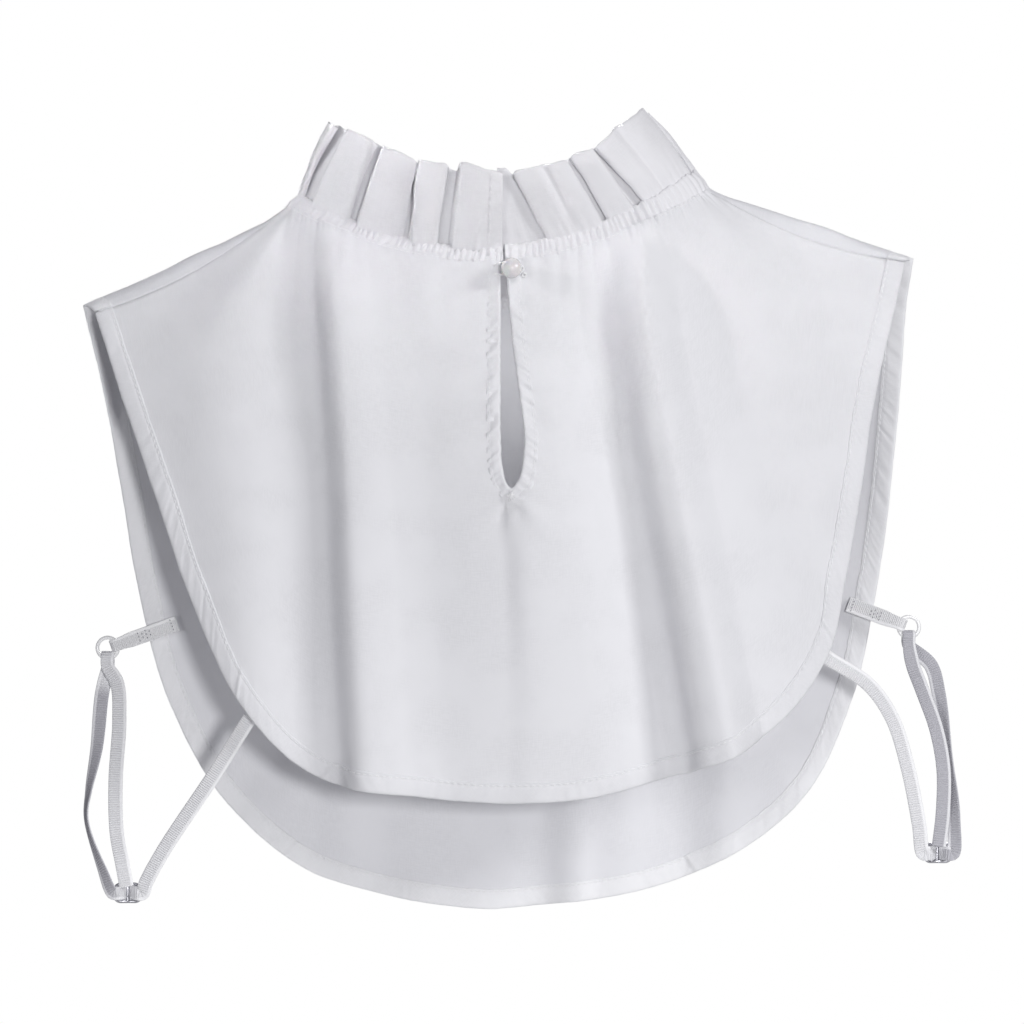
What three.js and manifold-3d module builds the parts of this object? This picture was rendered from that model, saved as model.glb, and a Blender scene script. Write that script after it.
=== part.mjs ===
// Ruffle collar: a false collar of white cotton with a pleated stand, hung as it is worn.
// Millimetres. X runs across the shoulders, Y from the back (-) to the front (+), Z up.
// The origin is the middle of the neck opening, at the height of the shoulders beside the neck.
import * as THREE from 'three';
import { mergeVertices } from 'three/addons/utils/BufferGeometryUtils.js';
import Module from 'manifold-3d';

const wasm = await Module();
wasm.setup();

// Walls, widths and gaps
const GAP = 0.3;
const CLOTH = 1.0;
const BINDING_WIDTH = 8.5;
const BINDING_THICKNESS = 2.0;
const KEYHOLE_BINDING_WIDTH = 5.3;
const KEYHOLE_BINDING_THICKNESS = 2.2;
const BAND_THICKNESS = 2.2;
const SEAM_GAP = 0.8;
const BINDING_GAP = 0.75;
const TIP_GAP = 0.6;
const BAND_GAP = 1.0;
const SEWN_GAP = 1.0;

// Ovals round the neck, seen from above, that dip in the middle of the back and of the front.
// middle and halfWidth lie along X, back and front are the depths behind and before the middle,
// level is the height, lean the rise to the right, dipBack and dipFront the drops.
const OVALS = {
  seam: { middle: -1, halfWidth: 90, back: 30, front: 35, level: 2.7, lean: 0.041, dipBack: 27.9, dipFront: 46 },
  base: { middle: -1.3, halfWidth: 83.7, back: 29, front: 34, level: 9.7, lean: 0.061, dipBack: 28.5, dipFront: 46.5 },
  top: { middle: -5.3, halfWidth: 67, back: 42, front: 45, level: 38.5, lean: 0.052, dipBack: 27.3, dipFront: 43.3 },
};

// Shoulders: the cloth of the front goes over the fold and meets the back in a seam behind it.
// foldTip and seamTip are their outer ends, and the seam sags by SEAM_SAG in its middle.
const SHOULDERS = {
  left: { side: -1, foldTip: [-177.5, 0, -43], seamTip: [-172, -5, -45.5] },
  right: { side: 1, foldTip: [175.4, 0, -22.8], seamTip: [167, -5, -24] },
};
const SEAM_ANGLE = 81.4;
const SEAM_SAG = 5;

// Outer edge of the back, from the left shoulder seam round the hem to the right one.
const BACK_EDGE = [
  { x: -172.0, y: -5, z: -46.3 },
  { x: -159.4, y: -14, z: -83.2 },
  { x: -144.4, y: -21, z: -125.4 },
  { x: -129.8, y: -26, z: -167.3 },
  { x: -109.8, y: -30, z: -209.0 },
  { x: -78.8, y: -32, z: -240.3 },
  { x: -33.2, y: -35, z: -249.2 },
  { x: 4.3, y: -36, z: -251.7 },
  { x: 41.8, y: -35, z: -248.8 },
  { x: 91.9, y: -33, z: -233.9 },
  { x: 120.9, y: -30, z: -214.5 },
  { x: 138.2, y: -27, z: -188.2 },
  { x: 143.8, y: -25, z: -163.2 },
  { x: 151.4, y: -20, z: -121.2 },
  { x: 157.8, y: -14, z: -83.2 },
  { x: 166.5, y: -7, z: -44.9 },
  { x: 167.0, y: -5, z: -25.0 },
];

// Outer edge of the front, from the left shoulder fold round the longer hem to the right one.
const FRONT_EDGE = [
  { x: -177.5, y: 0, z: -43.0 },
  { x: -176.0, y: 6, z: -52.0 },
  { x: -169.6, y: 13, z: -82.5 },
  { x: -162.5, y: 20, z: -125.3 },
  { x: -155.2, y: 25, z: -168.4 },
  { x: -143.5, y: 29, z: -211.7 },
  { x: -119.5, y: 32, z: -255.1 },
  { x: -79.4, y: 35, z: -287.7 },
  { x: -17.5, y: 38, z: -301.9 },
  { x: 17.3, y: 38, z: -301.5 },
  { x: 83.1, y: 36, z: -287.8 },
  { x: 130.2, y: 33, z: -255.1 },
  { x: 151.5, y: 29, z: -211.7 },
  { x: 161.1, y: 25, z: -168.4 },
  { x: 167.0, y: 19, z: -125.3 },
  { x: 170.6, y: 12, z: -82.0 },
  { x: 173.0, y: 7, z: -44.0 },
  { x: 175.4, y: 0, z: -22.8 },
];

// Drape folds, one a row: the ridge runs from (xTop, zTop) to (xLow, zLow), falls away over
// left and right to its sides, and stands out by highTop and highLow. guide marks the sharper
// ones, which the columns of the panel's grid follow.
const BACK_FOLDS = [
  { xTop: -67, zTop: -45, xLow: -57, zLow: -242, left: 12, right: 38, highTop: 5, highLow: 8, guide: true },
  { xTop: 55, zTop: -50, xLow: 88, zLow: -234, left: 13, right: 38, highTop: 5, highLow: 8, guide: true },
  { xTop: 12, zTop: -135, xLow: 14, zLow: -215, left: 11, right: 33, highTop: 3, highLow: 1, guide: true },
  { xTop: -118, zTop: -90, xLow: -106, zLow: -200, left: 24, right: 24, highTop: 2, highLow: 3 },
];
const FRONT_FOLDS = [
  { xTop: -70, zTop: -75, xLow: -62, zLow: -290, left: 24, right: 30, highTop: 4, highLow: 7, guide: true },
  { xTop: 8, zTop: -90, xLow: 14, zLow: -300, left: 24, right: 24, highTop: 3, highLow: 6, guide: true },
  { xTop: 72, zTop: -75, xLow: 78, zLow: -285, left: 28, right: 24, highTop: 4, highLow: 7, guide: true },
];
const FOLD_FADE = 35;

// Panels. out is the way they face, bulge their belly, bulgeReach and SAG_REACH the shares of the
// edge over which belly and seam sag settle. Columns of their grid run along the folds.
const PANELS = {
  back: { out: -1, firstAngle: -SEAM_ANGLE, lastAngle: SEAM_ANGLE, edge: edgeCurve(BACK_EDGE), folds: BACK_FOLDS,
    bulge: 5, bulgeReach: 0.12, sag: SEAM_SAG },
  front: { out: 1, firstAngle: -90, lastAngle: -270, edge: edgeCurve(FRONT_EDGE), folds: FRONT_FOLDS,
    bulge: 7, bulgeReach: 0.06, sag: 0 },
};
const SAG_REACH = 0.1;
const BACK_COLUMNS = 72;
const FRONT_COLUMNS = 58;
const PANEL_ROWS = 7;
const WRAP_STEPS = 3;
const SEARCH_STEPS = 120;
for (const panel of Object.values(PANELS)) panel.spread = columnSpread(panel);

// Slit down the back: half-widths of its opening at each height, straight on the left.
const SLIT = [
  { z: -12, left: -0.3, right: 2.2 },
  { z: -45, left: -0.3, right: 3.9 },
  { z: -75, left: -0.3, right: 7.2 },
  { z: -98, left: -0.3, right: 10.1 },
  { z: -110, left: 0.3, right: 9.7 },
  { z: -118, left: 2.2, right: 8.3 },
];
const SLIT_FOOT = { x: 5.6, z: -121.3 };
// The binding is cut from the grid's middle columns, over the upper share of their length.
const KEYHOLE_COLUMNS = 4;
const KEYHOLE_REACH = 0.7;
const SLIT_CUT_FRONT = -20;
const SLIT_CUT_DEPTH = 40;

// Ruffle: knife pleats round the stand, one a row, in degrees round the base and top ovals.
// fold says which end of the face has the sharp edge, riseFrom and riseTo lift its top corners.
const BACK_PLEATS = [
  { from: -1, to: 10.5, topFrom: 3.5, topTo: 6.5, riseFrom: 1.3, riseTo: 1.3, fold: 'none' },
  { from: 14.6, to: 31, topFrom: 9.6, topTo: 28, riseFrom: -1.2, riseTo: -2.8, fold: 'from' },
  { from: 33.9, to: 42, topFrom: 31.5, topTo: 38.5, riseFrom: -1.5, riseTo: -2.9, fold: 'from' },
  { from: 47.7, to: 54, topFrom: 42.3, topTo: 53, riseFrom: -2.8, riseTo: 0, fold: 'from' },
  { from: 57, to: 80, topFrom: 55.6, topTo: 79.3, riseFrom: -0.5, riseTo: 0.2, fold: 'from' },
  { from: 262, to: 281.5, topFrom: 264, topTo: 286.2, riseFrom: 0.5, riseTo: 0.5, fold: 'to' },
  { from: 294.2, to: 311.6, topFrom: 302.8, topTo: 315.6, riseFrom: 3, riseTo: 2.7, fold: 'to' },
  { from: 316.3, to: 331.4, topFrom: 321, topTo: 333.4, riseFrom: 3, riseTo: 1.6, fold: 'to' },
  { from: 334.5, to: 342, topFrom: 335.5, topTo: 345.3, riseFrom: 1.6, riseTo: 2.3, fold: 'to' },
  { from: 347.5, to: 361.3, topFrom: 351.1, topTo: 365.3, riseFrom: 3.8, riseTo: -1.2, fold: 'end' },
];
// The front of the stand has even pleats that turn away from its middle.
const FRONT_PLEATS = 10;
const FRONT_FROM = 88;
const FRONT_TO = 255;
const FRONT_RECESS = 4.5;
const FRONT_RISE = -2.5;
const FACE_STEP = 7;
const PLEAT_UNDER = 5.5;
const PLEAT_SPREAD = { base: 1.7, top: 2.8 };
const RUFFLE_BOW = 1.2;
const BACK_SPLIT = 180;

// Neck band: left and right ends at the slit, in degrees round the oval.
const BAND_FROM = 2.2;
const BAND_TO = 361.2;
const BAND_COLUMNS = 48;

// Pearl button on the right of the slit, and the loop from the left of it.
const PEARL = { x: 4.6, y: -38.2, z: -29, radius: 4.3, shankRadius: 1.3, shankBack: -32.7 };
const PEARL_RINGS = 7;
const LOOP = { radius: 0.45, y: -33.3, left: -2.5, right: 9.6, halfHeight: 2.6 };

// Elastic, rings and sliders of the side straps
const ELASTIC_WIDTH = 6.1;
const ELASTIC_THICKNESS = 0.9;
const TAB_WIDTH = 6.6;
const TAB_THICKNESS = 0.9;
const TAB_LAYER_GAP = 0.5;
const GATHERED_WIDTH = 4.0;
const GATHER_REACH = 6.5;
const TAB_NECK = 3;
const TURN_EASE = 0.2;
const RING = { radius: 4.45, wire: 0.8 };
const SLIDER = { length: 12.4, height: 8.8, thickness: 1.4, bar: 1.3, slot: 3.7, slotHeight: 6.9, round: 2.4 };

// Side straps. ring and slider are their middles, tabRoot is where the tab is sewn inside the
// front, down leads from the back's inner face to the slider, up from there to the ring, and
// back from the ring to the end that is sewn on the slider.
const STRAPS = {
  left: {
    ring: [-168.9, 20, -188.9], tabRoot: [-139.5, -178.4], slider: [-158.5, 0, -292.4], sewn: [-99, -209],
    down: [[-105.5, -25.5, -217.6], [-119.3, -20, -239.3], [-142.2, -8, -273.1], [-150.4, -3.5, -287.6]],
    up: [[-169.0, -1.2, -282.9], [-176.6, 6, -262], [-176.4, 14, -249.5], [-173.4, 17, -231.7], [-171.5, 20.5, -209.1]],
    back: [[-164.6, 17, -204], [-163.3, 13, -220], [-164.4, 8, -244.9], [-163.4, 2, -266.6], [-160.5, -3, -279.9]],
    end: [-158.8, -2.4, -289.5],
  },
  right: {
    ring: [175.2, 19, -179.9], tabRoot: [149.5, -170.2], slider: [185.7, 0, -275.4], sewn: [130.5, -186],
    down: [[136.8, -24.5, -191.3], [155.1, -16, -203.3], [165.6, -10.5, -218], [172.4, -7, -238.9], [177.4, -4, -263]],
    up: [[192.6, -1.6, -262], [192.6, 2, -251], [191.0, 9, -234], [187.6, 15, -208.0], [184.6, 19.8, -196.2]],
    back: [[176.6, 15, -196], [180.1, 11.5, -206.2], [185.7, 7, -222.7], [188.4, 2.5, -239.5], [187.8, -1.5, -257.5]],
    end: [186.0, -2.4, -272.5],
  },
};
const SPAN_STEPS = 3;
const GATHER_LIMIT = 0.35;
const MITRE_LIMIT = 0.6;

const COLOURS = {
  cotton: 0xeeeef3, stand: 0xe9e8ee, elastic: 0xdedde4, coated: 0xf6f6f8, metal: 0xb9b9c0, pearl: 0xf4f1ee,
};

const degrees = value => value * Math.PI / 180;
const vector = ([x, y, z]) => new THREE.Vector3(x, y, z);
const smooth = value => THREE.MathUtils.smoothstep(value, 0, 1);
const mix = THREE.MathUtils.lerp;

function edgeCurve(table) {
  return new THREE.CatmullRomCurve3(table.map(row => new THREE.Vector3(row.x, row.y, row.z)), false, 'centripetal');
}

// A point of an oval, from the slit (0) to the right (90), the front (180) and the left (270).
function ovalPoint(oval, angle) {
  const along = Math.sin(degrees(angle));
  const across = Math.cos(degrees(angle));
  const depth = across > 0 ? oval.back : oval.front;
  const dip = across > 0 ? oval.dipBack : oval.dipFront;
  const x = oval.middle + oval.halfWidth * along;
  return new THREE.Vector3(x, -depth * across, oval.level + oval.lean * x - dip * across * across);
}

// How far one degree goes round an oval, and the level direction out of it.
function ovalStep(oval, angle) {
  return ovalPoint(oval, angle + 0.5).setZ(0).distanceTo(ovalPoint(oval, angle - 0.5).setZ(0));
}

function ovalOut(oval, angle) {
  const along = ovalPoint(oval, angle + 0.5).sub(ovalPoint(oval, angle - 0.5));
  return new THREE.Vector3(along.y, -along.x, 0).normalize();
}

// Height of the drape folds at a place on a panel.
function foldRelief(folds, x, z) {
  let relief = 0;
  for (const fold of folds) {
    const share = THREE.MathUtils.clamp((fold.zTop - z) / (fold.zTop - fold.zLow), 0, 1);
    const aside = x - mix(fold.xTop, fold.xLow, share);
    const reach = Math.abs(aside) / (aside < 0 ? fold.left : fold.right);
    if (reach >= 1) continue;
    const fade = smooth((fold.zTop + FOLD_FADE - z) / FOLD_FADE);
    relief += mix(fold.highTop, fold.highLow, share) * fade * (1 + Math.cos(Math.PI * reach)) / 2;
  }
  return relief;
}

// Neck angles of a panel's columns over their shares of the edge, so that columns run along folds.
function columnSpread(panel) {
  const { middle, halfWidth, level } = OVALS.seam;
  const knots = panel.folds.filter(fold => fold.guide).map(fold => {
    const slope = (fold.xLow - fold.xTop) / (fold.zLow - fold.zTop);
    const aside = THREE.MathUtils.radToDeg(Math.asin((fold.xTop + slope * (level - fold.zTop) - middle) / halfWidth));
    let best = 0;
    for (let i = 0; i <= SEARCH_STEPS; i++) {
      const [here, held] = [i / SEARCH_STEPS, best].map(share => panel.edge.getPointAt(share));
      if (Math.abs(here.x - fold.xLow) < Math.abs(held.x - fold.xLow)) best = i / SEARCH_STEPS;
    }
    return [best, panel.out < 0 ? aside : -180 - aside];
  }).sort((a, b) => a[0] - b[0]);
  const rows = [[0, panel.firstAngle], ...knots, [1, panel.lastAngle]];
  return new THREE.CubicInterpolant(rows.map(row => row[0]), rows.map(row => row[1]), 1);
}

// Where a panel's column starts on the neck seam, in degrees: share runs from left to right.
function neckAngle(panel, share) {
  return panel.spread.evaluate(share)[0];
}

// A point of a panel: share runs round its edge from left to right, down from neck to edge.
function panelPoint(panel, share, down) {
  const neck = ovalPoint(OVALS.seam, neckAngle(panel, share));
  const point = neck.lerp(panel.edge.getPointAt(share), down);
  const fromSeam = Math.min(share, 1 - share);
  const arch = Math.sin(Math.PI * down);
  point.y += panel.out * panel.bulge * arch * smooth(fromSeam / panel.bulgeReach);
  point.y += panel.out * foldRelief(panel.folds, point.x, point.z) * smooth(fromSeam / SAG_REACH);
  if (panel.sag) point.z -= (panel.sag * arch + SEAM_GAP) * (1 - smooth(fromSeam / SAG_REACH));
  return point;
}

// A point of the cloth that goes over a shoulder: along from neck to tip, wrap from fold to seam.
function shoulderPoint(shoulder, along, wrap) {
  const fold = ovalPoint(OVALS.seam, shoulder.side * 90).lerp(vector(shoulder.foldTip), along);
  const seam = ovalPoint(OVALS.seam, shoulder.side * SEAM_ANGLE).lerp(vector(shoulder.seamTip), along);
  seam.z -= SEAM_SAG * Math.sin(Math.PI * along);
  const point = fold.clone().lerp(seam, wrap);
  point.z = mix(fold.z, seam.z, wrap * wrap);
  return point;
}

// The share of the way down at which a strip of some width along the outer edge begins.
function insetShare(panel, share, width) {
  const neck = ovalPoint(OVALS.seam, neckAngle(panel, share));
  const ray = panel.edge.getPointAt(share).sub(neck);
  const run = panel.edge.getTangentAt(share);
  return 1 - width / ray.cross(run).length();
}

// The share of the way down at which a panel starts, clear of the neck band.
function neckShare(panel, share) {
  const angle = neckAngle(panel, share);
  const length = ovalPoint(OVALS.seam, angle).distanceTo(panel.edge.getPointAt(share));
  return (SEAM_GAP + BAND_THICKNESS / 2 * Math.abs(Math.sin(degrees(angle))) ** 3) / length;
}

// Columns of a panel: even shares, closer together at the shoulders, and the shoulder wraps.
function panelColumns(panel, count) {
  const columns = [];
  for (let i = 0; i <= count; i++) {
    const share = i / count;
    columns.push({ share, at: down => panelPoint(panel, share, down) });
  }
  if (panel.sag) return columns;
  for (let step = 1; step <= WRAP_STEPS; step++) {
    const wrap = step / WRAP_STEPS;
    columns.unshift({ share: 0, at: down => shoulderPoint(SHOULDERS.left, down, wrap) });
    columns.push({ share: 1, at: down => shoulderPoint(SHOULDERS.right, down, wrap) });
  }
  return columns;
}

function panelGrid(panel, count, rows, first, last) {
  return panelColumns(panel, count).map(column => {
    const [from, to] = [first(panel, column.share), last(panel, column.share)];
    return Array.from({ length: rows + 1 }, (_, row) => column.at(mix(from, to, row / rows)));
  });
}

// Geometry of a closed body from its corners and faces, with the faces turned outwards.
function closedBody(points, faces) {
  let volume = 0;
  for (const [a, b, c] of faces) volume += points[a].dot(points[b].clone().cross(points[c]));
  const ordered = volume < 0 ? faces.map(([a, b, c]) => [a, c, b]) : faces;
  const geometry = new THREE.BufferGeometry();
  geometry.setAttribute('position', new THREE.Float32BufferAttribute(points.flatMap(p => p.toArray()), 3));
  geometry.setIndex(ordered.flat());
  geometry.computeVertexNormals();
  return geometry;
}

// A body from rings of corners in order, each ring joined to the next and both ends closed.
function loftBody(rings) {
  const sides = rings[0].length;
  const faces = [];
  for (let i = 0; i + 1 < rings.length; i++) {
    for (let j = 0; j < sides; j++) {
      const [a, b] = [i * sides + j, i * sides + (j + 1) % sides];
      faces.push([a, b, b + sides], [a, b + sides, a + sides]);
    }
  }
  const last = (rings.length - 1) * sides;
  for (let j = 0; 2 * j + 2 < sides; j++) {
    const [a, b, c, d] = [j, j + 1, sides - 2 - j, sides - 1 - j];
    faces.push([a, c, b], [last + a, last + b, last + c]);
    faces.push([a, d, c], [last + a, last + c, last + d]);
  }
  return closedBody(rings.flat(), faces);
}

// A sheet of some thickness about a grid of points.
function sheetBody(grid, thickness) {
  const rings = grid.map((column, i) => {
    const before = grid[Math.max(i - 1, 0)];
    const after = grid[Math.min(i + 1, grid.length - 1)];
    const outer = [];
    const inner = [];
    column.forEach((point, j) => {
      const along = after[j].clone().sub(before[j]);
      const down = column[Math.min(j + 1, column.length - 1)].clone().sub(column[Math.max(j - 1, 0)]);
      const normal = along.cross(down).normalize().multiplyScalar(thickness / 2);
      outer.push(point.clone().add(normal));
      inner.unshift(point.clone().sub(normal));
    });
    return [...outer, ...inner];
  });
  return loftBody(rings);
}

// A ribbon of some thickness along a curve, with its flat side turned by the curve's own plane.
function ribbonBody(curve, widthAt, thickness) {
  let across = null;
  const rings = [];
  const steps = (curve.points.length - 1) * SPAN_STEPS;
  for (let i = 0; i <= steps; i++) {
    const run = curve.getTangent(i / steps);
    const turned = new THREE.Vector3(-run.z, 0, run.x);
    if (across === null || turned.length() > GATHER_LIMIT) {
      if (across !== null && turned.dot(across) < 0) turned.negate();
      across = turned.normalize();
    }
    const side = across.clone().addScaledVector(run, -across.dot(run)).normalize();
    const centre = curve.getPoint(i / steps);
    const half = side.clone().multiplyScalar(widthAt(centre) / 2);
    const lift = run.clone().cross(side).multiplyScalar(thickness / 2);
    rings.push([[1, 1], [-1, 1], [-1, -1], [1, -1]].map(([u, v]) =>
      centre.clone().addScaledVector(half, u).addScaledVector(lift, v)));
  }
  return loftBody(rings);
}

// A wall of some thickness along a folded line, given at several heights.
function wallBody(lines, thickness) {
  const sides = lines.map(line => line.map((point, i) => {
    const before = line[Math.max(i - 1, 0)];
    const after = line[Math.min(i + 1, line.length - 1)];
    const arriving = point.clone().sub(before).setZ(0).normalize();
    const leaving = after.clone().sub(point).setZ(0).normalize();
    const run = arriving.add(leaving);
    const ends = i === 0 || i === line.length - 1;
    const spread = thickness / 2 / Math.max(run.length() / (ends ? 1 : 2), MITRE_LIMIT);
    const normal = new THREE.Vector3(run.y, -run.x, 0).normalize().multiplyScalar(spread);
    return [point.clone().add(normal), point.clone().sub(normal)];
  }));
  const rings = lines[0].map((_, i) => [0, 1].flatMap(face => {
    const column = sides.map(side => side[i][face]);
    return face ? column.reverse() : column;
  }));
  return loftBody(rings);
}

function toSolid(geometry) {
  const bare = geometry.clone();
  bare.deleteAttribute('normal');
  bare.deleteAttribute('uv');
  const merged = mergeVertices(bare, 1e-4);
  return new wasm.Manifold(new wasm.Mesh({
    numProp: 3,
    vertProperties: new Float32Array(merged.attributes.position.array),
    triVerts: new Uint32Array(merged.index.array),
  }));
}

function fromSolid(solid) {
  const mesh = solid.getMesh();
  const geometry = new THREE.BufferGeometry();
  geometry.setAttribute('position', new THREE.BufferAttribute(mesh.vertProperties, 3));
  geometry.setIndex(new THREE.BufferAttribute(mesh.triVerts, 1));
  geometry.computeVertexNormals();
  return geometry;
}

// The slit's opening, grown by some width on every side but its top.
function slitOpening(grow) {
  const shape = new THREE.Shape();
  shape.moveTo(SLIT[0].left - grow, SLIT[0].z);
  for (const row of SLIT.slice(1, 4)) shape.lineTo(row.left - grow, row.z);
  const foot = new THREE.Vector2(SLIT_FOOT.x, SLIT_FOOT.z - grow);
  const [, , , , high, low] = SLIT;
  const lowSide = grow * Math.SQRT1_2;
  shape.splineThru([
    new THREE.Vector2(high.left - grow, high.z),
    new THREE.Vector2(low.left - lowSide, low.z - lowSide),
    foot,
    new THREE.Vector2(low.right + lowSide, low.z - lowSide),
    new THREE.Vector2(high.right + grow, high.z),
    new THREE.Vector2(SLIT[3].right + grow, SLIT[3].z),
  ]);
  for (const row of SLIT.slice(0, 3).reverse()) shape.lineTo(row.right + grow, row.z);
  shape.closePath();
  const block = new THREE.ExtrudeGeometry(shape, { depth: SLIT_CUT_DEPTH, bevelEnabled: false, curveSegments: 7 });
  block.rotateX(Math.PI / 2);
  block.translate(0, SLIT_CUT_FRONT, 0);
  return toSolid(block);
}

function backPanel() {
  const grid = panelGrid(PANELS.back, BACK_COLUMNS, PANEL_ROWS, neckShare,
    (panel, share) => insetShare(panel, share, BINDING_WIDTH + BINDING_GAP));
  return fromSolid(toSolid(sheetBody(grid, CLOTH)).subtract(slitOpening(KEYHOLE_BINDING_WIDTH + GAP)));
}

function frontPanel() {
  const grid = panelGrid(PANELS.front, FRONT_COLUMNS, PANEL_ROWS, neckShare, (panel, share) => {
    const atTip = share === 0 || share === 1;
    return insetShare(panel, share, BINDING_WIDTH + BINDING_GAP + (atTip ? TIP_GAP : 0));
  });
  return sheetBody(grid, CLOTH);
}

function edgeBinding(panel, columns) {
  const grid = panelGrid(panel, columns, 1, (row, share) => insetShare(row, share, BINDING_WIDTH), () => 1);
  return sheetBody(grid, BINDING_THICKNESS);
}

// Binding of the slit: a thicker strip of the back's own surface round the opening.
function keyholeBinding() {
  const grid = panelGrid(PANELS.back, BACK_COLUMNS, PANEL_ROWS, neckShare, () => KEYHOLE_REACH);
  const middle = grid.slice(BACK_COLUMNS / 2 - KEYHOLE_COLUMNS, BACK_COLUMNS / 2 + KEYHOLE_COLUMNS + 1);
  const strip = slitOpening(KEYHOLE_BINDING_WIDTH).subtract(slitOpening(0));
  return fromSolid(toSolid(sheetBody(middle, KEYHOLE_BINDING_THICKNESS)).intersect(strip));
}

function neckBand() {
  const grid = [];
  for (let i = 0; i <= BAND_COLUMNS; i++) {
    const angle = mix(BAND_FROM, BAND_TO, i / BAND_COLUMNS);
    const low = ovalPoint(OVALS.seam, angle);
    const high = ovalPoint(OVALS.base, angle);
    low.z += GAP;
    high.z -= BAND_GAP;
    const out = ovalOut(OVALS.seam, angle).multiplyScalar(BAND_THICKNESS / 2);
    grid.push([low.clone().add(out), high.clone().add(out), high.sub(out), low.sub(out)]);
  }
  return loftBody(grid);
}

// Pleats of the whole ruffle in order, the front's worked out from their number.
function allPleats() {
  const step = (FRONT_TO - FRONT_FROM) / FRONT_PLEATS;
  const front = Array.from({ length: FRONT_PLEATS }, (_, i) => {
    const from = FRONT_FROM + i * step;
    const to = from + step - FRONT_RECESS;
    const fold = from < BACK_SPLIT - step / 2 ? 'from' : 'to';
    return { from, to, topFrom: from, topTo: to, riseFrom: FRONT_RISE, riseTo: FRONT_RISE, fold };
  });
  const [right, left] = [row => row.to < BACK_SPLIT, row => row.to > BACK_SPLIT];
  return [...BACK_PLEATS.filter(right), ...front, ...BACK_PLEATS.filter(left)];
}

// The folded line of the ruffle: places in degrees at its base and top, and the layer, from
// -1 (inside) to 1 (outside). A pleat's face is outside, and its cloth goes back below it.
function ruffleLine() {
  const line = [];
  const put = (pleat, edge, under, layer) => {
    const base = pleat[edge];
    const top = pleat[edge === 'from' ? 'topFrom' : 'topTo'];
    line.push({
      base: base + under / ovalStep(OVALS.base, base),
      top: top + under / ovalStep(OVALS.top, top),
      rise: edge === 'from' ? pleat.riseFrom : pleat.riseTo,
      layer,
    });
  };
  const face = (pleat, layer) => {
    const steps = Math.ceil((pleat.to - pleat.from) / FACE_STEP);
    for (let i = 0; i <= steps; i++) {
      line.push({
        base: mix(pleat.from, pleat.to, i / steps),
        top: mix(pleat.topFrom, pleat.topTo, i / steps),
        rise: mix(pleat.riseFrom, pleat.riseTo, i / steps),
        layer,
      });
    }
  };
  const tip = PLEAT_SPREAD.base / 2;
  for (const pleat of allPleats()) {
    if (pleat.fold === 'none') {
      face(pleat, -1);
    } else if (pleat.fold === 'from') {
      put(pleat, 'from', 0, -1);
      put(pleat, 'from', PLEAT_UNDER, -1);
      put(pleat, 'from', PLEAT_UNDER + tip, -0.5);
      put(pleat, 'from', PLEAT_UNDER, 0);
      put(pleat, 'from', 0, 0);
      put(pleat, 'from', -tip, 0.5);
      face(pleat, 1);
    } else {
      face(pleat, 1);
      if (pleat.fold === 'end') continue;
      put(pleat, 'to', tip, 0.5);
      put(pleat, 'to', 0, 0);
      put(pleat, 'to', -PLEAT_UNDER, 0);
      put(pleat, 'to', -PLEAT_UNDER - tip, -0.5);
      put(pleat, 'to', -PLEAT_UNDER, -1);
      put(pleat, 'to', 0, -1);
    }
  }
  return line;
}

function ruffle() {
  const heights = [0, 0.5, 1];
  const lines = heights.map(height => ruffleLine().map(place => {
    const foot = ovalPoint(OVALS.base, place.base);
    const head = ovalPoint(OVALS.top, place.top);
    foot.addScaledVector(ovalOut(OVALS.base, place.base), place.layer * PLEAT_SPREAD.base);
    head.addScaledVector(ovalOut(OVALS.top, place.top), place.layer * PLEAT_SPREAD.top);
    head.z += place.rise;
    const bow = RUFFLE_BOW * Math.sin(Math.PI * height);
    return foot.lerp(head, height).addScaledVector(ovalOut(OVALS.base, place.base), bow);
  }));
  return wallBody(lines, CLOTH);
}

// Pearl button with a short shank: a turned profile whose axis points out of the back.
function pearlButton() {
  const shank = PEARL.y - PEARL.shankBack;
  const profile = [new THREE.Vector2(0, shank), new THREE.Vector2(PEARL.shankRadius, shank)];
  const first = Math.asin(PEARL.shankRadius / PEARL.radius);
  for (let i = 0; i <= PEARL_RINGS; i++) {
    const angle = mix(first, Math.PI, i / PEARL_RINGS);
    const radius = i === PEARL_RINGS ? 0 : PEARL.radius * Math.sin(angle);
    profile.push(new THREE.Vector2(radius, -PEARL.radius * Math.cos(angle)));
  }
  const button = new THREE.LatheGeometry(profile, 2 * PEARL_RINGS);
  button.rotateX(Math.PI);
  button.translate(PEARL.x, PEARL.y, PEARL.z);
  return button;
}

// Loop round the button's shank, with both ends on the left of the slit.
function buttonLoop() {
  const { left, right, halfHeight, y, radius } = LOOP;
  const route = [[left, 0.7], [1, 1], [6.5, 1], [right, 0], [6.5, -1], [1, -1], [left, -0.7]];
  const curve = new THREE.CatmullRomCurve3(route.map(([x, up]) => new THREE.Vector3(x, y, PEARL.z + up * halfHeight)));
  const section = new THREE.Shape().absarc(0, 0, radius, 0, 2 * Math.PI);
  return new THREE.ExtrudeGeometry(section, { steps: 16, curveSegments: 3, extrudePath: curve, bevelEnabled: false });
}

function strapRing() {
  return new THREE.TorusGeometry(RING.radius, RING.wire, 6, 20).rotateX(Math.PI / 2);
}

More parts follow.
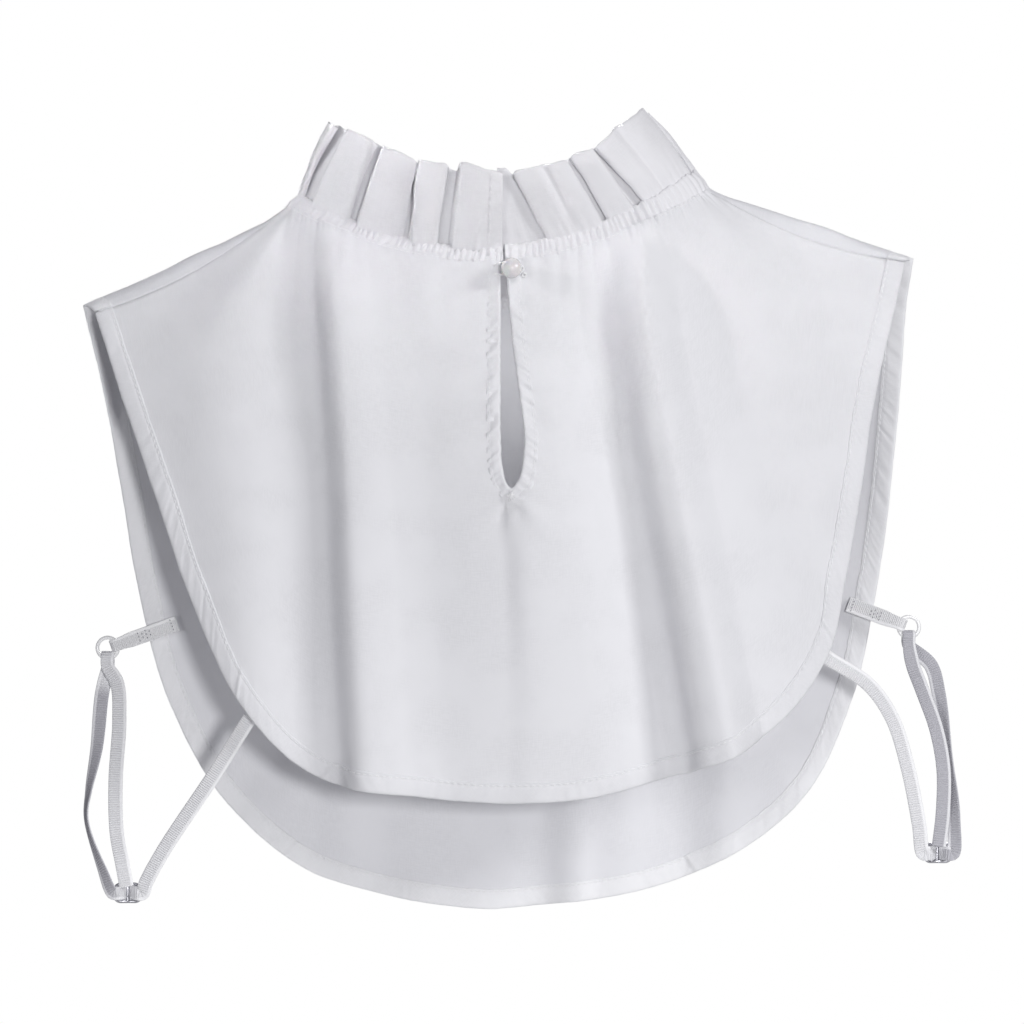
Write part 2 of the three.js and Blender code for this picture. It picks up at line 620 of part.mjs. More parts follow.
// Slider: a plate with two slots and a bar between them.
function strapSlider() {
  const outline = new THREE.Shape();
  const [x, z, round] = [SLIDER.length / 2 - SLIDER.round, SLIDER.height / 2 - SLIDER.round, SLIDER.round];
  [[x, -z], [x, z], [-x, z], [-x, -z]].forEach(([cornerX, cornerZ], quarter) =>
    outline.absarc(cornerX, cornerZ, round, (quarter - 1) * Math.PI / 2, quarter * Math.PI / 2));
  const plate = new THREE.ExtrudeGeometry(outline, { depth: SLIDER.thickness, bevelEnabled: false, curveSegments: 3 });
  plate.rotateX(Math.PI / 2);
  plate.translate(0, SLIDER.thickness / 2, 0);
  const slot = side => new THREE.BoxGeometry(SLIDER.slot, SLIDER.thickness * 2, SLIDER.slotHeight)
    .translate(side * (SLIDER.bar + SLIDER.slot) / 2, 0, 0);
  return fromSolid(toSolid(plate).subtract(toSolid(slot(-1))).subtract(toSolid(slot(1))));
}

// The point of a panel's inner face nearest to a place seen from behind, some way off the cloth.
function innerFace(panel, x, z, off) {
  let best = null;
  for (let i = 1; i < SEARCH_STEPS; i++) {
    for (let j = 1; j <= SEARCH_STEPS / 2; j++) {
      const point = panelPoint(panel, i / SEARCH_STEPS, 2 * j / SEARCH_STEPS);
      const miss = Math.hypot(point.x - x, point.z - z);
      if (best === null || miss < best.miss) best = { miss, y: point.y };
    }
  }
  return new THREE.Vector3(x, best.y - panel.out * off, z);
}

// Tab: elastic folded in two through the ring, with both ends sewn inside the front.
function strapTab(strap) {
  const ring = vector(strap.ring);
  const root = innerFace(PANELS.front, ...strap.tabRoot, BINDING_THICKNESS / 2 + SEWN_GAP + TAB_THICKNESS);
  const away = root.clone().sub(ring).setY(0);
  const length = away.length();
  away.normalize();
  const layer = (TAB_LAYER_GAP + TAB_THICKNESS) / 2;
  const turn = RING.wire + GAP + TAB_THICKNESS / 2;
  const straight = RING.radius + TAB_NECK;
  const place = (out, back) => {
    const drift = (root.y - ring.y) * Math.max(0, out - straight) / (length - straight);
    return ring.clone().addScaledVector(away, out).add(new THREE.Vector3(0, back + drift, 0));
  };
  const held = RING.radius - gatheredBend();
  const half = [[length, layer], [mix(length, straight, 0.5), layer], [straight + TAB_NECK, layer],
    [straight, layer + TURN_EASE], [held + RING.wire, turn + TURN_EASE], [held - RING.wire / 2, turn + TURN_EASE]];
  const route = [
    ...half.map(([out, back]) => place(out, back)),
    place(held - turn - TURN_EASE, 0),
    ...half.reverse().map(([out, back]) => place(out, -back)),
  ];
  const curve = new THREE.CatmullRomCurve3(route, false, 'centripetal');
  const widthAt = point => {
    const off = Math.hypot(point.x - ring.x, point.z - ring.z) - RING.radius;
    return mix(GATHERED_WIDTH, TAB_WIDTH, smooth((off - RING.wire) / GATHER_REACH));
  };
  return ribbonBody(curve, widthAt, TAB_THICKNESS);
}

// How far the ring's wire bends away over half the width of elastic gathered on it.
function gatheredBend() {
  return RING.radius - Math.sqrt(RING.radius ** 2 - (GATHERED_WIDTH / 2) ** 2);
}

// Strap: from inside the back, through the slider, through the ring and back to the slider.
function sideStrap(strap) {
  const side = Math.sign(strap.ring[0]);
  const start = innerFace(PANELS.back, ...strap.sewn, BINDING_THICKNESS / 2 + SEWN_GAP + ELASTIC_THICKNESS / 2);
  const past = SLIDER.thickness / 2 + GAP + ELASTIC_THICKNESS / 2 + TURN_EASE;
  const slotEnd = SLIDER.bar / 2 + SLIDER.slot;
  const [before, behind] = [SLIDER.slot / 2, GAP];
  const threaded = [[-slotEnd - before, -past], [-slotEnd + behind, -past], [-SLIDER.bar / 2 - behind, past],
    [SLIDER.bar / 2 + behind, past], [slotEnd - behind, -past], [slotEnd + before, -past]]
    .map(([x, y]) => vector(strap.slider).add(new THREE.Vector3(side * x, y, 0)));
  const turn = RING.wire + GAP + ELASTIC_THICKNESS / 2 + TURN_EASE;
  const bend = gatheredBend();
  const low = vector(strap.ring).add(new THREE.Vector3(0, 0, -RING.radius));
  const hairpin = [[turn, -TAB_NECK], [turn, bend + GAP], [0, bend + turn], [-turn, bend + GAP], [-turn, -TAB_NECK]]
    .map(([y, z]) => low.clone().add(new THREE.Vector3(0, y, z)));
  const route = [start, ...strap.down.map(vector), ...threaded, ...strap.up.map(vector), ...hairpin,
    ...strap.back.map(vector), vector(strap.end)];
  const curve = new THREE.CatmullRomCurve3(route, false, 'centripetal');
  const widthAt = point =>
    mix(GATHERED_WIDTH, ELASTIC_WIDTH, smooth((point.distanceTo(low) - TAB_NECK) / GATHER_REACH));
  return ribbonBody(curve, widthAt, ELASTIC_THICKNESS);
}

const collar = new THREE.Group();

function add(name, geometry, colour, roughness, metalness, position) {
  const mesh = new THREE.Mesh(geometry, new THREE.MeshStandardMaterial({ color: colour, roughness, metalness }));
  mesh.name = name;
  if (position) mesh.position.set(...position);
  collar.add(mesh);
}

add('back_panel', backPanel(), COLOURS.cotton, 0.9, 0);
add('back_binding', edgeBinding(PANELS.back, BACK_COLUMNS), COLOURS.cotton, 0.9, 0);
add('front_panel', frontPanel(), COLOURS.cotton, 0.9, 0);
add('front_binding', edgeBinding(PANELS.front, FRONT_COLUMNS), COLOURS.cotton, 0.9, 0);
add('neck_band', neckBand(), COLOURS.stand, 0.9, 0);
add('ruffle', ruffle(), COLOURS.stand, 0.9, 0);
add('keyhole_binding', keyholeBinding(), COLOURS.cotton, 0.9, 0);
add('pearl_button', pearlButton(), COLOURS.pearl, 0.25, 0);
add('button_loop', buttonLoop(), COLOURS.cotton, 0.9, 0);
for (const [side, strap] of Object.entries(STRAPS)) {
  add(`tab_${side}`, strapTab(strap), COLOURS.elastic, 0.8, 0);
  add(`ring_${side}`, strapRing(), COLOURS.coated, 0.35, 0, strap.ring);
  add(`strap_${side}`, sideStrap(strap), COLOURS.elastic, 0.8, 0);
  add(`slider_${side}`, strapSlider(), COLOURS.metal, 0.25, 1, strap.slider);
}

export default collar;
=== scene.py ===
"""Looks of a ruffle collar: a bound cotton bib with a pleated stand, hung as it is worn.

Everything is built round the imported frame, in the frame's own axes: X across the shoulders, Y from
the back to the front, Z up, and the origin in the middle of the neck opening. The classes work in
millimetres, and meshes are made in metres.
"""

from __future__ import annotations

import logging
import math
from collections.abc import Callable, Sequence
from dataclasses import dataclass, field
from enum import Enum

import bpy
import numpy as np
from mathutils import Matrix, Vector

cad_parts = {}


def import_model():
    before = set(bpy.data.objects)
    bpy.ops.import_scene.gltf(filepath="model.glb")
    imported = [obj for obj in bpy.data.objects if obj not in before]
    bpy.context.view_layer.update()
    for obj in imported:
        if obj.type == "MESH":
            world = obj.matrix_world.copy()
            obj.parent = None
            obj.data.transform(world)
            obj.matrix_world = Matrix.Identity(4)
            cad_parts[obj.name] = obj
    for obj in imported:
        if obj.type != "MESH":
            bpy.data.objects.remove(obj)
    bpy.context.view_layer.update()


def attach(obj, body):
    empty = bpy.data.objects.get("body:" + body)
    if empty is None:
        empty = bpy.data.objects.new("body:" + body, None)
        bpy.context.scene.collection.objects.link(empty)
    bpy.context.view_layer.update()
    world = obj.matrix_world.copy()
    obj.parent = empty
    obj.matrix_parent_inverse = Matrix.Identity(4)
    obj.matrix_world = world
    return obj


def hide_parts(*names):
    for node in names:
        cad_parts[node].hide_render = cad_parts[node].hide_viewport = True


Array = np.ndarray
Pair = tuple[float, float]
Triple = tuple[float, float, float]
Stitch = tuple[Array, Array, Array]
Colour = Triple
Piece = bpy.types.Object
Finish = bpy.types.Material

LOG = logging.getLogger("ruffle_collar")
METRES = 0.001
CLOTH_MM = 0.5
DIAGONAL = 0.7071
GRAIN_MAP = "grain"


# Numbers and curves


def mix(low: float | Array, high: float | Array, share: float | Array) -> float | Array:
    """Blend from low to high."""
    return low + (high - low) * share


def smooth(value: float | Array) -> float | Array:
    """Ease a value from 0 to 1, flat at both ends and outside."""
    held = np.clip(value, 0.0, 1.0)
    return held * held * (3.0 - 2.0 * held)


def bump(value: float | Array) -> float | Array:
    """A rounded hill that is 1 at 0 and falls to 0 at -1 and 1."""
    return 0.5 + 0.5 * np.cos(np.pi * np.clip(value, -1.0, 1.0))


def unit(vectors: Array) -> Array:
    """Vectors of length 1 in the same directions."""
    return vectors / np.maximum(np.linalg.norm(vectors, axis=-1, keepdims=True), 1e-12)


def lengths(line: Array) -> Array:
    """Distances along a line of points from its first one."""
    return np.concatenate([[0.0], np.cumsum(np.linalg.norm(np.diff(line, axis=0), axis=1))])


def point3(x: float | Array, y: float | Array, z: float | Array) -> Array:
    """Points from their three coordinates."""
    return np.stack(np.broadcast_arrays(x, y, z), axis=-1).astype(float)


@dataclass(frozen=True)
class Ripple:
    """A smooth random wave along a line, the same in every run."""

    seed: int
    step: float
    HEIGHTS = 8192
    START = 700.0
    NEXT_ROW = 613.0

    def at(self, along: float | Array, row: float | Array = 0.0) -> Array:
        """Height of the wave, from -1 to 1.

        Args:
            along: Places along the line, in millimetres.
            row: Which wave of a family, where several lie side by side.

        Returns:
            The heights.
        """
        heights = np.random.default_rng(self.seed).uniform(-1.0, 1.0, self.HEIGHTS)
        place = np.asarray(along, float) / self.step + self.START + np.asarray(row, float) * self.NEXT_ROW
        whole = np.floor(place).astype(int)
        eased = smooth(place - whole)
        return heights[whole % self.HEIGHTS] * (1.0 - eased) + heights[(whole + 1) % self.HEIGHTS] * eased


@dataclass(frozen=True)
class Shirring:
    """A row of small gathers: rounded ridges with sharp valleys, unevenly spaced."""

    seed: int
    pitch: float
    uneven: float = 0.55
    DRIFT_STEP = 2.2
    SIZE_STEP = 1.7

    def at(self, along: float | Array, row: float | Array = 0.0) -> Array:
        """Height of the gathers, from about -1 to 0.8.

        Args:
            along: Places along the row, in millimetres.
            row: Which row of a family, where several lie side by side.

        Returns:
            The heights.
        """
        drift = Ripple(self.seed, self.pitch * self.DRIFT_STEP).at(along, row)
        ridge = np.abs(np.sin(np.pi * (np.asarray(along, float) / self.pitch + self.uneven * drift)))
        size = 0.7 + 0.4 * Ripple(self.seed + 1, self.pitch * self.SIZE_STEP).at(along, row)
        return (2.0 * ridge - 1.2) * size


@dataclass(frozen=True)
class Swell:
    """A smooth random relief over two directions, the same in every run."""

    seed: int
    step: float
    CELLS = 256
    START = 77.0

    def at(self, across: Array, along: Array) -> Array:
        """Height of the relief, from -1 to 1.

        Args:
            across: Places in one direction, in millimetres.
            along: Places in the other direction, in millimetres.

        Returns:
            The heights.
        """
        n = self.CELLS
        grid = np.random.default_rng(self.seed).uniform(-1.0, 1.0, (n, n))
        u, v = (np.asarray(places, float) / self.step + self.START for places in (across, along))
        i, j = np.floor(u).astype(int), np.floor(v).astype(int)
        p, q = smooth(u - i), smooth(v - j)
        low, high = (mix(grid[i % n, row % n], grid[(i + 1) % n, row % n], p) for row in (j, j + 1))
        return mix(low, high, q)


class Route:
    """A smooth curve through a few points, with centripetal spans."""

    STEPS = 200
    AHEAD = 1e-4

    def __init__(self, points: Sequence[Sequence[float]]) -> None:
        """Keep the points and measure the curve.

        Args:
            points: The points that the curve goes through, in millimetres.
        """
        inner = np.array(points, float)
        first, last = 2 * inner[0] - inner[1], 2 * inner[-1] - inner[-2]
        self.points = np.vstack([first, inner, last])
        self.spans = len(inner) - 1
        self.table = np.linspace(0.0, 1.0, self.STEPS * self.spans + 1)
        self.reached = lengths(self.at(self.table))

    @property
    def length(self) -> float:
        """Length of the whole curve."""
        return float(self.reached[-1])

    def at(self, share: float | Array) -> Array:
        """Points at shares of the spans.

        Args:
            share: From 0 at the first point to 1 at the last.

        Returns:
            The points.
        """
        place = np.clip(np.asarray(share, float), 0.0, 1.0) * self.spans
        span = np.minimum(place.astype(int), self.spans - 1)
        part = (place - span)[..., None]
        p0, p1, p2, p3 = (self.points[span + k] for k in range(4))
        d0, d1, d2 = (
            np.maximum(np.linalg.norm(b - a, axis=-1, keepdims=True), 1e-6) ** 0.5
            for a, b in ((p0, p1), (p1, p2), (p2, p3))
        )
        leave = ((p1 - p0) / d0 - (p2 - p0) / (d0 + d1) + (p2 - p1) / d1) * d1
        arrive = ((p2 - p1) / d1 - (p3 - p1) / (d1 + d2) + (p3 - p2) / d2) * d1
        square, cube = part**2, part**3
        return (
            p1
            + leave * part
            + (-3 * p1 + 3 * p2 - 2 * leave - arrive) * square
            + (2 * p1 - 2 * p2 + leave + arrive) * cube
        )

    def along(self, share: float | Array) -> Array:
        """Points at shares of the length.

        Args:
            share: From 0 at the first point to 1 at the last.

        Returns:
            The points.
        """
        return self.at(np.interp(np.asarray(share, float) * self.length, self.reached, self.table))

    def turns(self, share: float | Array) -> Array:
        """Directions of the curve at shares of its length."""
        ahead = np.clip(np.asarray(share, float) + self.AHEAD, 0.0, 1.0)
        behind = np.clip(np.asarray(share, float) - self.AHEAD, 0.0, 1.0)
        return unit(self.along(ahead) - self.along(behind))


class Knots:
    """A smooth graph through a few places, level in its curvature at both ends."""

    def __init__(self, rows: Sequence[Pair]) -> None:
        """Keep the rows.

        Args:
            rows: Place and value, in order of place.
        """
        self.places, self.values = (np.array(column, float) for column in zip(*rows))

    def at(self, place: float | Array) -> Array:
        """Values of the graph.

        Args:
            place: Where to read it.

        Returns:
            The values.
        """
        t, v = self.places, self.values
        k = np.clip(np.searchsorted(t, place, side="right") - 1, 0, len(t) - 2)
        starts, ends = k == 0, k == len(t) - 2
        before = np.where(starts, t[k + 1], t[np.maximum(k - 1, 0)])
        after = np.where(ends, t[k], t[np.minimum(k + 2, len(t) - 1)])
        left = np.where(starts, v[k + 1], v[np.maximum(k - 1, 0)])
        right = np.where(ends, v[k], v[np.minimum(k + 2, len(t) - 1)])
        half = 0.5 * (t[k + 1] - t[k])
        back, on = half / (t[k] - before), half / (after - t[k + 1])
        p = (place - t[k]) / (t[k + 1] - t[k])
        pp, ppp = p * p, p * p * p
        return (
            (-back * ppp + 2 * back * pp - back * p) * left
            + ((1 + back) * ppp + (-1.5 - 2 * back) * pp + (-0.5 + back) * p + 1) * v[k]
            + ((-1 - on) * ppp + (1.5 + on) * pp + 0.5 * p) * v[k + 1]
            + (on * ppp - on * pp) * right
        )


# Meshes


@dataclass
class Web:
    """A grid of points in rows, that becomes one sheet or one closed tube of faces."""

    points: Array
    grain: Array
    around: bool = False
    capped: bool = False

    def faces(self, first: int) -> tuple[list[list[int]], list[Array]]:
        """Faces of the grid and the grain of their corners.

        Args:
            first: Number of the grid's first point in the whole mesh.

        Returns:
            The faces as lists of point numbers, and a row of grain per corner for each.
        """
        n, m = self.points.shape[:2]
        width = m if self.around else m - 1
        i, j = (a.ravel() for a in np.meshgrid(np.arange(n - 1), np.arange(width), indexing="ij"))
        on = (j + 1) % m
        quads = np.stack([i * m + j, (i + 1) * m + j, (i + 1) * m + on, i * m + on], axis=1) + first
        grain = self.grain
        if grain.shape[1] == width:
            grain = np.concatenate([grain, 2 * grain[:, -1:] - grain[:, -2:-1]], axis=1)
        cells = (grain[i, j], grain[i + 1, j], grain[i + 1, j + 1], grain[i, j + 1])
        corners = np.stack(cells, axis=1)
        faces, grains = quads.tolist(), list(corners)
        if self.capped:
            start = list(range(first, first + m))
            faces += [start, [(n - 1) * m + k for k in reversed(start)]]
            grains += [self.grain[0, :m], self.grain[-1, :m][::-1]]
        return faces, grains


def make_piece(name: str, webs: Sequence[Web], finish: Finish, weld: bool = False) -> Piece:
    """Make one object of several grids.

    Args:
        name: The piece's name.
        webs: Its grids, in millimetres.
        finish: Its material.
        weld: Whether grids share the points in which they meet.

    Returns:
        The object, smooth shaded.
    """
    points, faces, grains, first = [], [], [], 0
    for web in webs:
        flat = web.points.reshape(-1, 3)
        more, grain = web.faces(first)
        points.append(flat)
        faces += more
        grains += grain
        first += len(flat)
    mesh = bpy.data.meshes.new(name)
    corners = np.concatenate(points) * METRES
    if weld:
        corners, faces = welded(corners, faces)
    mesh.from_pydata(corners.tolist(), [], faces)
    layer = mesh.uv_layers.new(name=GRAIN_MAP)
    layer.data.foreach_set("uv", np.concatenate(grains).astype(np.float32).ravel())
    mesh.polygons.foreach_set("use_smooth", [True] * len(mesh.polygons))
    mesh.materials.append(finish)
    mesh.update()
    piece = bpy.data.objects.new(name, mesh)
    bpy.context.scene.collection.objects.link(piece)
    return piece


def welded(points: Array, faces: list[list[int]]) -> tuple[Array, list[list[int]]]:
    """Join points that lie in one place.

    Args:
        points: The points, in metres.
        faces: The faces as lists of point numbers.

    Returns:
        The points left, and the faces in their numbers.
    """
    _, kept, number = np.unique(np.round(points, 7), axis=0, return_index=True, return_inverse=True)
    return points[kept], [[int(number[k]) for k in face] for face in faces]


def thicken(piece: Piece, thickness: float = CLOTH_MM) -> Piece:
    """Give a sheet its thickness, half on each side, with closed edges."""
    solid = piece.modifiers.new("thickness", "SOLIDIFY")
    solid.thickness = thickness * METRES
    solid.offset = 0.0
    return piece


def grid_normals(points: Array) -> Array:
    """Directions square to a grid of points."""
    return unit(np.cross(np.gradient(points, axis=0), np.gradient(points, axis=1)))


def loop_web(
    centres: Array, side: Array | Triple, up: Array | Triple, outline: Array, sizes: Array | float = 1.0
) -> Web:
    """Sweep an outline along a line.

    Args:
        centres: Points of the line.
        side: Direction of the outline's first coordinate, one for all points or one for each.
        up: Direction of its second coordinate.
        outline: The outline's points, in millimetres.
        sizes: Scale of the outline's first coordinate at each point.

    Returns:
        The closed tube.
    """
    across = outline[None, :, 0] * np.broadcast_to(np.atleast_1d(sizes), (len(centres),))[:, None]
    side, up = (np.broadcast_to(way, centres.shape)[:, None] for way in (side, up))
    rows = centres[:, None] + side * across[..., None] + up * outline[None, :, 1, None]
    around = lengths(np.vstack([outline, outline[:1]]))
    grain = np.stack(np.meshgrid(lengths(centres), around, indexing="ij"), axis=-1)
    return Web(rows, grain, around=True, capped=True)


def ring_outline(width: float, height: float, corners: int) -> Array:
    """Points of an oval of some width and height, in order."""
    turn = np.linspace(0.0, 2 * np.pi, corners, endpoint=False)
    return np.stack([width / 2 * np.cos(turn), height / 2 * np.sin(turn)], axis=1)


def flat_outline(width: float, thickness: float, ribs: int) -> Array:
    """Points of a flat strip's rounded section, in order.

    Args:
        width: Its width.
        thickness: Its thickness.
        ribs: Number of points on each flat side.

    Returns:
        The points.
    """
    inner = width / 2 - thickness / 2
    flat = np.linspace(-inner, inner, ribs)
    turn = np.linspace(-np.pi / 2, np.pi / 2, 5)[1:-1]
    cap = np.stack([inner + thickness / 2 * np.cos(turn), thickness / 2 * np.sin(turn)], axis=1)
    low = np.stack([flat, np.full(ribs, -thickness / 2)], axis=1)
    return np.vstack([low, cap, -low, -cap])


@dataclass(frozen=True)
class Stitching:
    """Rows of thread laid on cloth: each stitch is a small bead with its ends in the cloth."""

    length: float = 2.0
    gap: float = 0.75
    thread: float = 0.34
    sink: float = 0.12
    stations: int = 5
    sides: int = 5

    def row(self, line: Array, out: Array, lift: float = 0.0) -> list[Stitch]:
        """Place stitches along a line.

        Args:
            line: Points of the line on the cloth.
            out: Directions out of the cloth, one a point.
            lift: How far off the line the thread lies.

        Returns:
            Start, end and outward direction of each stitch.
        """
        reached = lengths(line)
        count = int(reached[-1] // (self.length + self.gap))
        found = []
        for k in range(count):
            ends = [k * (self.length + self.gap), k * (self.length + self.gap) + self.length]
            a, b, n = (
                np.array([np.interp(place, reached, data[:, c]) for c in range(3)])
                for place, data in ((ends[0], line), (ends[1], line), (ends[0], out))
            )
            found.append((a + n * lift, b + n * lift, n))
        return found

    def webs(self, stitches: Sequence[Stitch]) -> list[Web]:
        """Grids of the stitches.

        Args:
            stitches: Start, end and outward direction of each.

        Returns:
            One closed grid per stitch.
        """
        share = np.linspace(0.0, 1.0, self.stations)
        swell = np.sqrt(np.clip(1.0 - (2 * share - 1) ** 2, 0.05, 1.0))
        found = []
        for start, end, out in stitches:
            run = unit(end - start)
            side = unit(np.cross(run, out))
            high = (swell - 1) * self.thread / 2 + self.sink
            centres = mix(start, end, share[:, None]) + out * high[:, None]
            outline = ring_outline(self.thread, self.thread, self.sides)
            found.append(loop_web(centres, side, out, outline, swell))
        return found


# The collar's shape

FOLD_FADE = 35.0
SEAM_ANGLE = 81.4
SEAM_SAG = 5.0
SEAM_TUCK = 6.0
CROWNS = {-1: -2.3, 1: -0.8}
CROWN_RISE = 0.12
SAG_REACH = 0.1
WRAP = 0.03
SHIRRING = Shirring(21, 2.9)
SLANT = 0.12


@dataclass(frozen=True)
class Oval:
    """A dipping oval round the neck, by angle: 0 at the slit, 90 right, 180 front, 270 left."""

    middle: float
    half_width: float
    back: float
    front: float
    level: float
    lean: float
    dip_back: float
    dip_front: float

    def point(self, angle: float | Array) -> Array:
        """Points of the oval.

        Args:
            angle: Angles in degrees.

        Returns:
            The points.
        """
        along, across = np.sin(np.radians(angle)), np.cos(np.radians(angle))
        depth = np.where(across > 0, self.back, self.front)
        dip = np.where(across > 0, self.dip_back, self.dip_front)
        x = self.middle + self.half_width * along
        return point3(x, -depth * across, self.level + self.lean * x - dip * across**2)

    def step(self, angle: float | Array) -> Array:
        """How far one degree goes round the oval, seen from above."""
        run = self.point(np.asarray(angle) + 0.5) - self.point(np.asarray(angle) - 0.5)
        return np.linalg.norm(run[..., :2], axis=-1)

    def out(self, angle: float | Array) -> Array:
        """Level directions out of the oval."""
        run = self.point(np.asarray(angle) + 0.5) - self.point(np.asarray(angle) - 0.5)
        return unit(point3(run[..., 1], -run[..., 0], 0.0))


SEAM = Oval(
    middle=-1, half_width=90, back=30, front=35, level=2.7, lean=0.041, dip_back=27.9, dip_front=46
)
BASE = Oval(
    middle=-1.3, half_width=83.7, back=29, front=34, level=9.7, lean=0.061, dip_back=28.5, dip_front=46.5
)
TOP = Oval(
    middle=-5.3, half_width=67, back=42, front=45, level=38.5, lean=0.052, dip_back=27.3, dip_front=43.3
)


@dataclass(frozen=True)
class Fold:
    """A drape fold: a ridge between two places that falls away to its left and right."""

    top: Pair
    low: Pair
    left: float
    right: float
    high_top: float
    high_low: float
    guide: bool = False
    crisp: float = 0.0
    PEAK = 1.07
    PEAK_ROUND = 0.005

    def relief(self, x: Array, z: Array) -> Array:
        """Height of the fold.

        Args:
            x: Places across the panel.
            z: Their heights.

        Returns:
            How far the fold stands out there.
        """
        share = np.clip((self.top[1] - z) / (self.top[1] - self.low[1]), 0.0, 1.0)
        aside = x - mix(self.top[0], self.low[0], share)
        fade = smooth((self.top[1] + FOLD_FADE - z) / FOLD_FADE)
        reach = np.abs(aside) / np.where(aside < 0, self.left, self.right)
        tent = np.clip(self.PEAK - np.sqrt(reach**2 + self.PEAK_ROUND), 0.0, 1.0)
        return mix(self.high_top, self.high_low, share) * fade * mix(bump(reach), tent, self.crisp)


def crown(side: int, down: Array) -> Array:
    """How far a shoulder's fold stands above the straight line from the neck to its tip."""
    return CROWNS[side] * smooth(down / CROWN_RISE) * (1.0 - down)


@dataclass(frozen=True)
class Shoulder:
    """The cloth of the front that goes over one shoulder to the seam behind it."""

    side: int
    fold_tip: Triple
    seam_tip: Triple

    def point(self, down: Array, wrap: Array) -> Array:
        """Points of the cloth over the shoulder.

        Args:
            down: Places from the neck (0) to the tip (1).
            wrap: Places from the fold (0) to the seam (1).

        Returns:
            The points.
        """
        fold = mix(SEAM.point(self.side * 90.0), np.array(self.fold_tip), down[..., None])
        fold[..., 2] += crown(self.side, down)
        seam = mix(SEAM.point(self.side * SEAM_ANGLE), np.array(self.seam_tip), down[..., None])
        seam[..., 2] -= SEAM_SAG * np.sin(np.pi * down)
        found = mix(fold, seam, wrap[..., None])
        found[..., 2] = mix(fold[..., 2], seam[..., 2], wrap**2)
        found[..., 1] += SEAM_TUCK * np.maximum(wrap - 1.0, 0.0)
        return found


LEFT_SHOULDER = Shoulder(-1, (-177.5, 0.0, -43.0), (-172.0, -5.0, -45.5))
RIGHT_SHOULDER = Shoulder(1, (175.4, 0.0, -22.8), (171.5, -4.6, -23.9))


